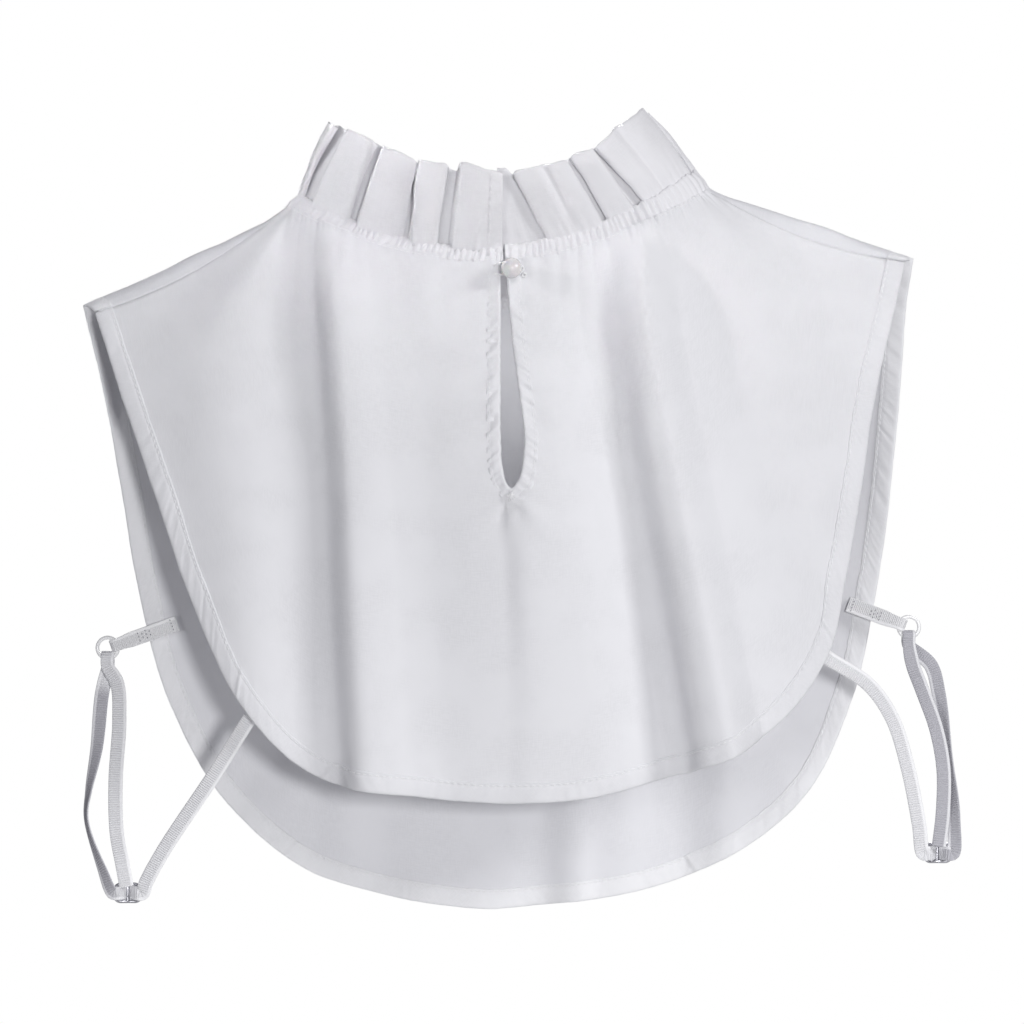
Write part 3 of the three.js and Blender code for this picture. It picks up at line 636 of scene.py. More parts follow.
@dataclass
class Panel:
    """The surface of one panel, as the frame has it.

    A place is a share round the outer edge, from the left shoulder to the right one, and how far
    down it is from the neck (0) to the edge (1). Shares below 0 and above 1 go over the shoulders.
    The front panel, which has no seam of its own to sag, has its left armhole edge rolled in.

    Attributes:
        out: The way it faces along Y.
        angles: Where its first and last columns start on the neck seam, in degrees.
        course: Points of its outer edge.
        folds: Its drape folds.
        bulge: Height of its belly.
        bulge_reach: Share of the edge over which the belly rises.
        sag: Drop of its shoulder seam in the middle.
    """

    out: int
    angles: Pair
    course: Sequence[Triple]
    folds: Sequence[Fold]
    bulge: float
    bulge_reach: float
    sag: float
    FOLDS_END = -180.0
    ROLL_START = 0.016
    ROLL_END = 0.094
    ROLL_FADE = 0.034
    ROLL_DEPTH = 12.0
    ROLL_REACH = 12.0
    ROLL_RAY = 110.0
    SEARCH_ROUNDS = 30

    def __post_init__(self) -> None:
        """Measure the edge, and let the columns run along the guiding folds."""
        self.edge = Route(self.course)
        shares = np.linspace(0.0, 1.0, 1201)
        ends = self.edge.along(shares)
        knots = []
        for fold in self.folds:
            if fold.guide:
                slope = (fold.low[0] - fold.top[0]) / (fold.low[1] - fold.top[1])
                sine = (fold.top[0] + slope * (SEAM.level - fold.top[1]) - SEAM.middle) / SEAM.half_width
                aside = math.degrees(math.asin(sine))
                far = np.abs(ends[:, 0] - fold.low[0]) + 1e3 * (ends[:, 2] > self.FOLDS_END)
                best = shares[np.argmin(far)]
                knots.append((best, aside if self.out < 0 else -180.0 - aside))
        self.spread = Knots([(0.0, self.angles[0]), *sorted(knots), (1.0, self.angles[1])])

    def neck_angle(self, share: Array) -> Array:
        """Where columns start on the neck seam, in degrees."""
        return self.spread.at(np.clip(share, 0.0, 1.0))

    def at(self, share: Array, down: Array) -> Array:
        """Points of the panel's middle surface.

        Args:
            share: Places round the edge.
            down: Places from the neck to the edge.

        Returns:
            The points.
        """
        share, down = np.broadcast_arrays(np.asarray(share, float), np.asarray(down, float))
        held = np.clip(share, 0.0, 1.0)
        found = mix(SEAM.point(self.neck_angle(held)), self.edge.along(held), down[..., None])
        near = np.minimum(held, 1.0 - held)
        arch = np.sin(np.pi * down)
        found[..., 1] += self.out * self.bulge * arch * smooth(near / self.bulge_reach)
        relief = sum(fold.relief(found[..., 0], found[..., 2]) for fold in self.folds)
        found[..., 1] += self.out * relief * smooth(near / SAG_REACH)
        found[..., 2] -= self.sag * arch * (1.0 - smooth(near / SAG_REACH))
        if not self.sag:
            rise = np.where(held < 0.5, crown(-1, down), crown(1, down))
            found[..., 2] += rise * (1.0 - smooth(near / SAG_REACH))
            turned = smooth(held / self.ROLL_START) * smooth((self.ROLL_END - held) / self.ROLL_FADE)
            inward = (1.0 - down) * self.ROLL_RAY / self.ROLL_REACH
            found[..., 1] += self.ROLL_DEPTH * turned * inward * np.exp(1.0 - inward)
        for shoulder, past in ((LEFT_SHOULDER, -share), (RIGHT_SHOULDER, share - 1.0)):
            over = past > 0
            if over.any():
                found[over] = shoulder.point(down[over], past[over] / WRAP)
        return found

    def inset(self, share: Array, width: float | Array) -> Array:
        """How far down a strip of some width along the edge begins."""
        held = np.clip(share, 0.0, 1.0)
        ray = self.edge.along(held) - SEAM.point(self.neck_angle(held))
        return 1.0 - width / np.linalg.norm(np.cross(ray, self.edge.turns(held)), axis=-1)

    def normal(self, share: Array, down: Array) -> Array:
        """Directions out of the panel's outer side.

        Args:
            share: Places round the edge.
            down: Places from the neck to the edge.

        Returns:
            Directions of length 1.
        """
        eps = 1e-3
        share = np.where(np.abs(share) < 2 * eps, 2 * eps * np.where(share < 0, -1, 1), share)
        share = np.where(np.abs(share - 1) < 2 * eps, 1 + 2 * eps * np.where(share > 1, 1, -1), share)
        along = self.at(share + eps, down) - self.at(share - eps, down)
        fall = self.at(share, down + eps) - self.at(share, down - eps)
        return unit(np.cross(fall, along)) * -self.out

    def seen(self, x: Array, z: Array, start: Pair = (0.5, 0.4)) -> tuple[Array, Array]:
        """Find the places that lie at some x and z.

        Args:
            x: Wanted places across.
            z: Wanted heights.
            start: Where the search starts.

        Returns:
            Share and down of each place.
        """
        share, down = (np.full(np.shape(x), value, float) for value in start)
        eps = 1e-4
        for _ in range(self.SEARCH_ROUNDS):
            here = self.at(share, down)
            by_share = (self.at(share + eps, down) - here) / eps
            by_down = (self.at(share, down + eps) - here) / eps
            miss_x, miss_z = x - here[..., 0], z - here[..., 2]
            det = by_share[..., 0] * by_down[..., 2] - by_down[..., 0] * by_share[..., 2]
            det = np.where(np.abs(det) < 1e-6, 1e-6, det)
            more_share = (miss_x * by_down[..., 2] - by_down[..., 0] * miss_z) / det
            more_down = (by_share[..., 0] * miss_z - miss_x * by_share[..., 2]) / det
            share = np.clip(share + np.clip(more_share, -0.05, 0.05), 0.001, 0.999)
            down = np.clip(down + np.clip(more_down, -0.1, 0.1), -0.2, 1.2)
        return share, down


BACK = Panel(
    out=-1,
    angles=(-SEAM_ANGLE, SEAM_ANGLE),
    course=(
        (-172.0, -5, -46.3), (-159.4, -14, -83.2), (-144.4, -21, -125.4), (-129.8, -26, -167.3),
        (-109.8, -30, -209.0), (-78.8, -32, -240.3), (-33.2, -35, -249.2), (4.3, -36, -251.7),
        (41.8, -35, -248.8), (91.9, -33, -233.9), (120.9, -30, -214.5), (138.2, -27, -188.2),
        (143.8, -25, -163.2), (151.4, -20, -121.2), (157.8, -14, -83.2), (167.0, -7, -44.9),
        (171.5, -4.6, -24.8),
    ),
    folds=(
        Fold((-67, -45), (-57, -242), left=12, right=38, high_top=5, high_low=8, guide=True),
        Fold((55, -50), (88, -234), left=13, right=38, high_top=5, high_low=8, guide=True),
        Fold((12, -135), (14, -215), left=11, right=33, high_top=3, high_low=1, guide=True),
        Fold((-118, -90), (-106, -200), left=24, right=24, high_top=2, high_low=3),
    ),
    bulge=5.0,
    bulge_reach=0.12,
    sag=SEAM_SAG,
)
FRONT = Panel(
    out=1,
    angles=(-90.0, -270.0),
    course=(
        (-177.5, 0, -43.0), (-176.0, 6, -52.0), (-169.6, 13, -82.5), (-162.5, 20, -125.3),
        (-155.2, 25, -168.4), (-143.5, 29, -211.7), (-119.5, 32, -255.1), (-79.4, 35, -287.7),
        (-17.5, 38, -301.9), (17.3, 38, -301.5), (83.1, 36, -287.8), (130.2, 33, -255.1),
        (151.5, 29, -211.7), (161.1, 25, -168.4), (167.0, 19, -125.3), (170.6, 12, -82.0),
        (173.0, 7, -44.0), (175.4, 0, -22.8),
    ),
    folds=(
        Fold((-70, -75), (-62, -290), left=24, right=30, high_top=4, high_low=7, guide=True),
        Fold((8, -90), (14, -300), left=24, right=24, high_top=3, high_low=6, guide=True),
        Fold((72, -75), (78, -285), left=28, right=24, high_top=4, high_low=7, guide=True),
    ),
    bulge=7.0,
    bulge_reach=0.06,
    sag=0.0,
)


BACK_HOLLOWS = (
    Fold((-84, -60), (-75, -242), left=26, right=19, high_top=-2.0, high_low=-2.8),
    Fold((45, -60), (70, -236), left=27, right=23, high_top=-3.8, high_low=-7.6, crisp=0.5),
    Fold((-67, -45), (-54, -242), left=17, right=16, high_top=1.5, high_low=2.6, crisp=1.0),
    Fold((58, -46), (95, -234), left=24, right=15, high_top=4.6, high_low=8.4, crisp=1.0),
    Fold((-71, -22), (-66, -110), left=11, right=20, high_top=4.2, high_low=0.0),
    Fold((56, -24), (67, -125), left=10, right=20, high_top=5.6, high_low=0.0),
    Fold((-37, -14), (-34, -60), left=7, right=13, high_top=2.8, high_low=0.0),
    Fold((8, -85), (12, -200), left=62, right=70, high_top=4.5, high_low=3.0),
)
FRONT_HOLLOWS = (
    Fold((30, -180), (34, -300), left=16, right=9, high_top=-1.0, high_low=-2.2),
)


class Slit:
    """The keyhole slit down the back, as its lip seen from behind."""

    LIP = (
        (-0.3, -22.0), (-0.3, -45.0), (-0.3, -75.0), (-0.3, -98.0), (0.3, -110.0), (2.2, -118.0),
        (5.6, -121.3), (8.3, -118.0), (9.7, -110.0), (10.1, -98.0), (7.2, -75.0), (3.9, -45.0), (2.6, -24.0),
    )
    FOOT = 6
    SIDES_MEET = 5.0
    PUCKER = 0.7
    PUCKER_SLANT = 0.75
    PUCKERS_START = -36.0
    PUCKERS_END = -130.0

    def __init__(self) -> None:
        """Work out the lip's curve."""
        self.curve = Route([(x, 0.0, z) for x, z in self.LIP])

    def lips(self, z: Array) -> tuple[Array, Array]:
        """X of the left and right lip at some heights, equal below the foot."""
        line = self.curve.at(np.linspace(0.0, 1.0, 1201))
        foot = int(np.argmin(line[:, 2]))
        left, right = line[: foot + 1][::-1], line[foot:]
        return np.interp(z, left[:, 2], left[:, 0]), np.interp(z, right[:, 2], right[:, 0])

    def puckers(self, x: Array, z: Array, aside: Array) -> Array:
        """Height of the puckers along the slit.

        Args:
            x: Places across the panel.
            z: Heights of the places.
            aside: How far they lie from the nearer lip.

        Returns:
            The heights.
        """
        row = np.where(x < self.SIDES_MEET, 0, 1)
        slanted = z + self.PUCKER_SLANT * aside
        wave = Ripple(61, 2.2).at(slanted, row) + 0.5 * Ripple(62, 1.1).at(slanted, row)
        reach = smooth(aside / 2.5) * np.exp(-np.maximum(aside - 5.0, 0.0) / 3.0)
        ends = smooth((self.PUCKERS_START - z) / 7.0) * smooth((z - self.PUCKERS_END) / 8.0)
        return self.PUCKER * wave * reach * ends

    def lip(self, count: int) -> tuple[Array, Array]:
        """Evenly spaced points of the lip, and the directions away from the opening."""
        shares = np.linspace(0.0, 1.0, count)
        turns = self.curve.turns(shares)
        return self.curve.along(shares), unit(point3(turns[:, 2], 0.0, -turns[:, 0]))


SLIT = Slit()


# Materials


class Value:
    """A value or vector inside a material, with arithmetic."""

    def __init__(self, graph: Graph, source: bpy.types.Node, output: int | str = 0) -> None:
        """Keep the node that gives the value, and which of its outputs it is."""
        self.graph, self.source, self.output = graph, source, output

    @property
    def socket(self) -> bpy.types.NodeSocket:
        """The output socket."""
        return self.source.outputs[self.output]

    def _join(self, operation: str, first: Term, second: Term) -> Value:
        """Join two values by a Math node, or a Vector Math node where one is a vector.

        Args:
            operation: The node's operation.
            first: The value on its left.
            second: The value on its right.

        Returns:
            The result.
        """
        vector = any(isinstance(term, Value) and term.socket.type != "VALUE" for term in (first, second))
        if not vector:
            return self.graph.node("ShaderNodeMath", {"operation": operation}, {0: first, 1: second})
        if operation == "MULTIPLY" and any(self._plain(term) for term in (first, second)):
            whole, scale = (second, first) if self._plain(first) else (first, second)
            return self.graph.node("ShaderNodeVectorMath", {"operation": "SCALE"}, {0: whole, "Scale": scale})
        return self.graph.node("ShaderNodeVectorMath", {"operation": operation}, {0: first, 1: second})

    @staticmethod
    def _plain(term: Term) -> bool:
        """Whether a term is a number or a single value."""
        return isinstance(term, (int, float)) or (isinstance(term, Value) and term.socket.type == "VALUE")

    def __add__(self, other: Term) -> Value:
        """Sum."""
        return self._join("ADD", self, other)

    def __radd__(self, other: Term) -> Value:
        """Sum."""
        return self._join("ADD", other, self)

    def __sub__(self, other: Term) -> Value:
        """Difference."""
        return self._join("SUBTRACT", self, other)

    def __rsub__(self, other: Term) -> Value:
        """Difference."""
        return self._join("SUBTRACT", other, self)

    def __mul__(self, other: Term) -> Value:
        """Product."""
        return self._join("MULTIPLY", self, other)

    def __rmul__(self, other: Term) -> Value:
        """Product."""
        return self._join("MULTIPLY", other, self)

    def __truediv__(self, other: Term) -> Value:
        """Quotient."""
        return self._join("DIVIDE", self, other)

    def sine(self) -> Value:
        """Sine of an angle in radians."""
        return self.graph.node("ShaderNodeMath", {"operation": "SINE"}, {0: self})

    def size(self) -> Value:
        """The value without its sign."""
        return self.graph.node("ShaderNodeMath", {"operation": "ABSOLUTE"}, {0: self})

    def span(self, low: float, high: float, to_low: float = 0.0, to_high: float = 1.0) -> Value:
        """Map low..high smoothly to another span, held at its ends."""
        inputs = {"Value": self, "From Min": low, "From Max": high, "To Min": to_low, "To Max": to_high}
        return self.graph.node("ShaderNodeMapRange", {"interpolation_type": "SMOOTHSTEP"}, inputs)


Term = float | int | Value | tuple[float, ...]


def paler(colour: Colour, share: float) -> Colour:
    """A colour times a number, none of it above 1."""
    return tuple(min(1.0, part * share) for part in colour)


class Graph:
    """The node tree of one material, or of the world."""

    def __init__(self, owner: Finish | bpy.types.World) -> None:
        """Start with no nodes.

        Args:
            owner: The material or the world.
        """
        owner.use_nodes = True
        self.owner, self.tree = owner, owner.node_tree
        self.tree.nodes.clear()

    @classmethod
    def material(cls, name: str) -> Graph:
        """Start a material of some name."""
        return cls(bpy.data.materials.new(name))

    def node(self, kind: str, settings: dict, inputs: dict, output: int | str = 0) -> Value:
        """Add a node.

        Args:
            kind: The node's type.
            settings: Its properties, set first.
            inputs: Its input sockets' values or links.
            output: Which of its outputs to give back.

        Returns:
            The output.
        """
        made = self.tree.nodes.new(kind)
        for key, value in settings.items():
            setattr(made, key, value)
        for key, value in inputs.items():
            self._feed(made.inputs[key], value)
        return Value(self, made, output)

    def _feed(self, socket: bpy.types.NodeSocket, value: Term) -> None:
        """Link or set one input socket.

        Args:
            socket: The socket.
            value: A link, a number, a vector or a colour.
        """
        if isinstance(value, Value):
            self.tree.links.new(value.socket, socket)
        elif socket.type == "RGBA":
            socket.default_value = (*value, 1.0)
        elif socket.type == "VECTOR" and isinstance(value, (int, float)):
            socket.default_value = (value,) * 3
        else:
            socket.default_value = value

    def place(self) -> Value:
        """Places on the object, in millimetres."""
        return self.node("ShaderNodeTexCoord", {}, {}, "Object") * (1.0 / METRES)

    def grain(self) -> tuple[Value, Value]:
        """Distances along and across the piece, in millimetres."""
        flat = self.node("ShaderNodeUVMap", {"uv_map": GRAIN_MAP}, {})
        along = self.node("ShaderNodeSeparateXYZ", {}, {0: flat})
        return along, Value(self, along.source, 1)

    def noise(self, where: Value, size: float, detail: float = 2.0, rough: float = 0.5) -> Value:
        """Cloudy noise from 0 to 1, with its main spots of some size in the unit of where."""
        inputs = {"Vector": where, "Scale": 1.0 / size, "Detail": detail, "Roughness": rough}
        return self.node("ShaderNodeTexNoise", {}, inputs)

    def blend(self, factor: Term, low: Term, high: Term) -> Value:
        """Mix two colours."""
        return self.node("ShaderNodeMix", {"data_type": "RGBA"}, {0: factor, 6: low, 7: high}, 2)

    def relief(self, height: Value, depth: float, under: Value | None = None) -> Value:
        """Turn a height into a bump.

        Args:
            height: Height from 0 to 1.
            depth: Its depth, in millimetres.
            under: A bump that it lies on.

        Returns:
            The normal.
        """
        inputs: dict = {"Height": height, "Distance": depth * METRES, "Strength": 1.0}
        if under is not None:
            inputs["Normal"] = under
        return self.node("ShaderNodeBump", {}, inputs)

    def dress(self, **sockets: Term) -> Finish:
        """Add the shader, its sockets named with _ for spaces, and give back the material."""
        inputs = {name.replace("_", " ").title(): value for name, value in sockets.items()}
        shader = self.node("ShaderNodeBsdfPrincipled", {}, inputs)
        self.node("ShaderNodeOutputMaterial", {}, {0: shader})
        return self.owner


@dataclass(frozen=True)
class Cotton:
    """White woven cotton: plain yarns that cross, faint slubs and creases, a dry soft sheen."""

    name: str
    colour: Colour = (0.80, 0.80, 0.825)
    yarn: float = 0.34
    bias: bool = False
    crease: float = 0.022
    crease_size: float = 11.0
    relief: float = 0.03
    slub_stretch: float = 0.12

    def make(self) -> Finish:
        """Make the material."""
        graph = Graph.material(self.name)
        along, across = graph.grain()
        if self.bias:
            along, across = (along + across) * DIAGONAL, (along - across) * DIAGONAL
        turns = 2 * math.pi / self.yarn
        flat = graph.node("ShaderNodeCombineXYZ", {}, {0: along, 1: across * self.slub_stretch})
        cross = graph.node("ShaderNodeCombineXYZ", {}, {0: along * self.slub_stretch, 1: across})
        slub = graph.noise(flat, 0.5) + graph.noise(cross, 0.5)
        warp = (along * turns + graph.noise(cross, 0.8) * 2.0).sine()
        weft = (across * turns + graph.noise(flat, 0.8) * 2.0).sine()
        weave = warp * weft * 0.5 + 0.5
        place = graph.place()
        creases = graph.noise(place, self.crease_size, 1.0, 0.4)
        wear_and_painted_shade = graph.noise(place, 24.0, 2.0)
        shade = graph.blend(slub.span(0.75, 1.25), paler(self.colour, 0.955), self.colour)
        tone = graph.blend(wear_and_painted_shade.span(0.35, 0.65), shade, paler(self.colour, 1.012))
        normal = graph.relief(creases, self.crease * self.crease_size)
        normal = graph.relief(slub * 0.5, self.relief, normal)
        normal = graph.relief(weave, self.relief, normal)
        return graph.dress(
            base_color=tone,
            roughness=weave.span(0.0, 1.0, 0.95, 0.86),
            sheen_weight=0.06,
            sheen_roughness=0.5,
            normal=normal,
        )


@dataclass(frozen=True)
class Thread:
    """Twisted white sewing thread, with painted shade in the grooves of its twist."""

    name: str
    colour: Colour = (0.93, 0.93, 0.945)

    def make(self) -> Finish:
        """Make the material."""
        graph = Graph.material(self.name)
        along, across = graph.grain()
        twist = (along * 9.0 + across * 6.0).sine() * 0.5 + 0.5
        fuzz = graph.noise(graph.place(), 0.3)
        # Painted shade: the twist's grooves are a tenth darker.
        tone = graph.blend(twist, paler(self.colour, 0.9), self.colour)
        normal = graph.relief(twist, 0.06, graph.relief(fuzz, 0.04))
        return graph.dress(base_color=tone, roughness=twist.span(0.0, 1.0, 0.8, 0.6), normal=normal)


@dataclass(frozen=True)
class Elastic:
    """Narrow white elastic: cross ribs, rubber cores along it, smooth edges and painted shade in its grooves.

    Attributes:
        dark: Painted shade colour for the grooves between the ribs and the cores.
        core: Distance of the rubber cores.
        painted_shade_span: From where to where along it the ribs get painted shade, for the shadow on the
            strap's rear strand.
        wear_and_painted_shade: How strong that painted shade is.
        painted_shade_colour: The colour that the painted shade blends towards.
    """

    name: str
    colour: Colour
    dark: Colour
    rib: float = 1.0
    core: float = 0.9
    width: float = 6.1
    painted_shade_span: Pair | None = None
    wear_and_painted_shade: float = 0.4
    painted_shade_colour: Colour = (0.02, 0.01, 0.08)

    def make(self) -> Finish:
        """Make the material."""
        graph = Graph.material(self.name)
        along, across = graph.grain()
        wobble = graph.noise(graph.place(), 2.5) * 1.6
        ribs = (along * (2 * math.pi / self.rib) + wobble).sine() * 0.5 + 0.5
        cores = (across * (2 * math.pi / self.core)).sine().size()
        edge = graph.node("ShaderNodeMath", {"operation": "PINGPONG"}, {0: across, 1: self.width + 0.5})
        middle = edge.span(0.5, 1.1) * edge.span(self.width - 0.1, self.width - 0.7)
        depth = ribs * cores.span(0.0, 0.8, 0.55, 1.0)
        # Painted shade: the grooves between ribs and cores take the darker colour; the smooth edges keep the
        # plain one.
        inner = graph.blend(depth.span(0.1, 0.75), self.dark, self.colour)
        tone = graph.blend(middle, self.colour, inner)
        # Painted shade: a stretch of the ribs is greyed towards a bluish dark, for the shadow on the strap's
        # rear strand.
        if self.painted_shade_span:
            start, stop = self.painted_shade_span
            painted_shade_mask = along.span(start, start + 8.0) * along.span(stop, stop - 8.0)
            tone = graph.blend(painted_shade_mask * middle.span(0.0, 1.0, 0.4, 1.0) * self.wear_and_painted_shade, tone, self.painted_shade_colour)
        normal = graph.relief(depth * middle, 0.25)
        return graph.dress(base_color=tone, roughness=depth.span(0.0, 1.0, 0.9, 0.7), normal=normal)


@dataclass(frozen=True)
class CoatedWire:
    """White nylon coat on wire: smooth, glossy, with slight flow marks."""

    name: str
    colour: Colour = (0.97, 0.97, 0.975)

    def make(self) -> Finish:
        """Make the material."""
        graph = Graph.material(self.name)
        place = graph.place()
        flow = graph.noise(place, 2.4, 2.0)
        scuff = graph.noise(place, 0.5, 3.0, 0.7)
        tone = graph.blend(flow, paler(self.colour, 0.96), self.colour)
        return graph.dress(
            base_color=tone,
            roughness=scuff.span(0.35, 0.75, 0.22, 0.4),
            coat_weight=0.3,
            coat_roughness=0.12,
            normal=graph.relief(flow, 0.05),
        )


@dataclass(frozen=True)
class PlatedMetal:
    """Bright plated wire metal, with fine drawn lines and dull spots."""

    name: str
    colour: Colour = (0.62, 0.62, 0.66)

    def make(self) -> Finish:
        """Make the material."""
        graph = Graph.material(self.name)
        along, across = graph.grain()
        streak = graph.node("ShaderNodeCombineXYZ", {}, {0: along * 0.1, 1: across * 3.0})
        drawn = graph.noise(streak, 0.6, 3.0, 0.6)
        spots = graph.noise(graph.place(), 1.6, 3.0, 0.6)
        tone = graph.blend(spots.span(0.4, 0.7), self.colour, paler(self.colour, 0.72))
        return graph.dress(
            base_color=tone,
            metallic=1.0,
            roughness=drawn.span(0.3, 0.75, 0.14, 0.34),
            normal=graph.relief(drawn, 0.02),
        )


@dataclass(frozen=True)
class PearlLacquer:
    """Pearl bead: warm white layers under a clear coat."""

    name: str
    colour: Colour = (0.74, 0.73, 0.735)
    rose: Colour = (0.76, 0.72, 0.735)

    def make(self) -> Finish:
        """Make the material."""
        graph = Graph.material(self.name)
        place = graph.place()
        layers = graph.noise(place, 3.2, 2.0)
        pits = graph.noise(place, 0.6, 2.0)
        return graph.dress(
            base_color=graph.blend(layers.span(0.3, 0.7), self.colour, self.rose),
            roughness=pits.span(0.3, 0.7, 0.2, 0.32),
            coat_weight=0.7,
            coat_roughness=0.06,
            subsurface_weight=0.15,
            subsurface_scale=0.002,
            normal=graph.relief(layers, 0.06),
        )


@dataclass(frozen=True)
class PaleFloor:
    """Smooth pale floor with faint mottling."""

    name: str
    colour: Colour = (0.8, 0.8, 0.8)

    def make(self) -> Finish:
        """Make the material."""
        graph = Graph.material(self.name)
        cloud = graph.noise(graph.place(), 60.0, 3.0)
        tone = graph.blend(cloud, paler(self.colour, 0.97), self.colour)
        return graph.dress(base_color=tone, roughness=cloud.span(0.3, 0.7, 0.7, 0.85))


# Stretches along each strap, in millimetres, that get painted shade for the shadow on its rear strand.
STRAP_PAINTED_SHADE = {"left": (114.0, 216.0), "right": (118.0, 340.0)}


def made(look: Cotton | Thread | Elastic | CoatedWire | PlatedMetal | PearlLacquer) -> Finish:
    """A material that is made when its set is."""
    return field(default_factory=look.make)


def strap_looks() -> dict[str, Finish]:
    """Material of each side's strap, with its stretch of painted shade."""
    return {
        side: Elastic(f"{side}_elastic", (0.95, 0.95, 0.965), (0.82, 0.82, 0.85), painted_shade_span=painted_shade_span).make()
        for side, painted_shade_span in STRAP_PAINTED_SHADE.items()
    }


@dataclass
class Finishes:
    """All the materials of the collar."""

    poplin: Finish = made(Cotton("white_poplin"))
    lining: Finish = made(Cotton("poplin_inside", (0.80, 0.80, 0.83)))
    tape: Finish = made(Cotton("bias_tape", bias=True, crease=0.04, crease_size=4.0))
    # Paler copy of the bias tape for the front binding: painted light, as the lamps reach it less than the
    # back binding.
    inner_tape: Finish = made(
        Cotton("bias_tape_painted_light", (0.89, 0.89, 0.91), bias=True, crease=0.04, crease_size=4.0))
    # Slightly paler copy of the poplin for the band and the ruffle: painted light on them.
    stand: Finish = made(Cotton("stand_cotton", (0.82, 0.815, 0.84), crease=0.03, crease_size=6.0))
    thread: Finish = made(Thread("sewing_thread"))
    # Grey thread for the tab's stitches: painted shade for their holes in the elastic.
    shaded: Finish = made(Thread("painted_shade_thread", (0.4, 0.4, 0.43)))
    elastic: dict[str, Finish] = field(default_factory=strap_looks)
    tab_elastic: Finish = made(Elastic("tab_elastic", (0.97, 0.97, 0.98), (0.88, 0.88, 0.9), rib=0.8))
    coated: Finish = made(CoatedWire("coated_ring"))
    metal: Finish = made(PlatedMetal("plated_slider"))
    pearl: Finish = made(PearlLacquer("pearl_lacquer"))


# Sub-assemblies


def settle(piece: Piece, nodes: Sequence[str] = ()) -> Piece:
    """Fix a piece to the frame and report it.

    Args:
        piece: The piece.
        nodes: The frame's nodes that it stands for.

    Returns:
        The piece.
    """
    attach(piece, "root")
    if nodes:
        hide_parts(*nodes)
    LOG.info("%s: %d points, %d faces", piece.name, len(piece.data.vertices), len(piece.data.polygons))
    return piece


def sew(name: str, sewing: Stitching, stitches: Sequence[Stitch], finish: Finish, slot: str) -> Piece:
    """Make one piece of stitches.

    Args:
        name: Its name.
        sewing: The kind of stitches.
        stitches: Start, end and outward direction of each.
        finish: Its material.
        slot: Unused; nothing reads it.

    Returns:
        The piece.
    """
    return settle(make_piece(name, sewing.webs(stitches), finish))


def both_sides(profile: Sequence[Pair]) -> Array:
    """A folded strip's closed section, from one side of it that ends at the fold."""
    side = np.array(profile)
    return np.vstack([side, (side[:-1] * (1, -1))[::-1]])


def laid(station: Array, section: Array) -> tuple[Array, Array, Array]:
    """Places of a section along a strip: how far along, and the section's two measures."""
    along, inward = np.meshgrid(station, section[:, 0], indexing="ij")
    return along, inward, np.broadcast_to(section[:, 1], along.shape).copy()


def tube(points: Array, along: Array, section: Array) -> Web:
    """A closed tube of points, with its grain along it and round its section."""
    around = np.broadcast_to(lengths(section), along.shape)
    return Web(points, np.stack([along, around], axis=-1), around=True, capped=True)


def neck_length(angle: Array) -> Array:
    """How far round the neck seam an angle lies, in millimetres."""
    table = np.linspace(-400.0, 400.0, 1601)
    return np.interp(angle, table, lengths(SEAM.point(table)))


@dataclass(frozen=True)
class Wrinkles:
    """How the cloth of a panel wrinkles: gathers at the neck, drag at its edge, soft swells."""

    seed: int
    hollows: Sequence[Fold] = ()
    gather: float = 0.8
    gather_fade: float = 3.2
    tuck: float = 0.8
    tuck_fade: float = 13.0
    drag: float = 0.22
    drag_step: float = 3.2
    drag_fade: float = 4.0
    swell: float = 0.7
    swell_size: float = 36.0
    dimple: float = 0.12
    dimple_size: float = 14.0
    pinch: float = 0.45
    still: float = 0.7
    still_reach: float = 12.0
    tape: float = 8.0

    def soft(self, panel: Panel, share: Array, points: Array) -> Array:
        """Height of the soft swells and hollows, none at the shoulder seams.

        Args:
            panel: The panel.
            share: Places round the edge.
            points: The panel's points there.

        Returns:
            The heights.
        """
        x, z = points[..., 0], points[..., 2]
        broad = Swell(self.seed, self.swell_size).at(x, z * 0.6)
        small = Swell(self.seed + 1, self.dimple_size).at(x + z * 0.2, z * 0.7)
        deep = sum((fold.relief(x, z) for fold in self.hollows), np.zeros_like(x))
        return (self.swell * broad + self.dimple * small + deep) * self.free(panel, share)

    @staticmethod
    def free(panel: Panel, share: Array) -> Array:
        """How free the cloth is, from 0 at a shoulder seam to 1."""
        if panel.sag:
            return smooth(np.minimum(share, 1.0 - share) / 0.02)
        return smooth((1.0 - np.maximum(-share, share - 1.0) / WRAP) / 0.8)

    def height(self, panel: Panel, share: Array, down: Array, points: Array) -> Array:
        """Height of all the wrinkles.

        Args:
            panel: The panel.
            share: Places round the edge.
            down: Places from the neck to the edge.
            points: The panel's points there.

        Returns:
            The heights, in millimetres.
        """
        angle = panel.neck_angle(share)
        length = np.linalg.norm(panel.edge.along(np.clip(share, 0, 1)) - SEAM.point(angle), axis=-1)
        below, above = np.maximum(down * length, 0.0), (1.0 - down) * length
        around = neck_length(angle)
        reach = 1.0 + 0.5 * Ripple(self.seed + 2, 3.4).at(around)
        gathers = self.gather * SHIRRING.at(around + SLANT * below)
        tucks = self.tuck * Shirring(self.seed + 3, 7.5).at(around)
        gathers, tucks = (
            wave * np.exp(-below / (fade * reach))
            for wave, fade in ((gathers, self.gather_fade), (tucks, self.tuck_fade))
        )
        rim = np.exp(-np.maximum(above - self.tape, 0.0) / self.drag_fade)
        round_edge = np.clip(share, 0, 1) * panel.edge.length
        drag = self.drag * Ripple(self.seed + 5, self.drag_step).at(round_edge + 0.5 * above) * rim
        free = self.free(panel, share)
        calm = 1.0 - self.still * np.exp(-below / self.still_reach)
        pinch = self.pinch * (1.0 - free) ** 4 * (0.25 * Ripple(self.seed + 6, 4.0).at(below) - 1.0)
        return (gathers + tucks + drag) * free + self.soft(panel, share, points) * calm + pinch


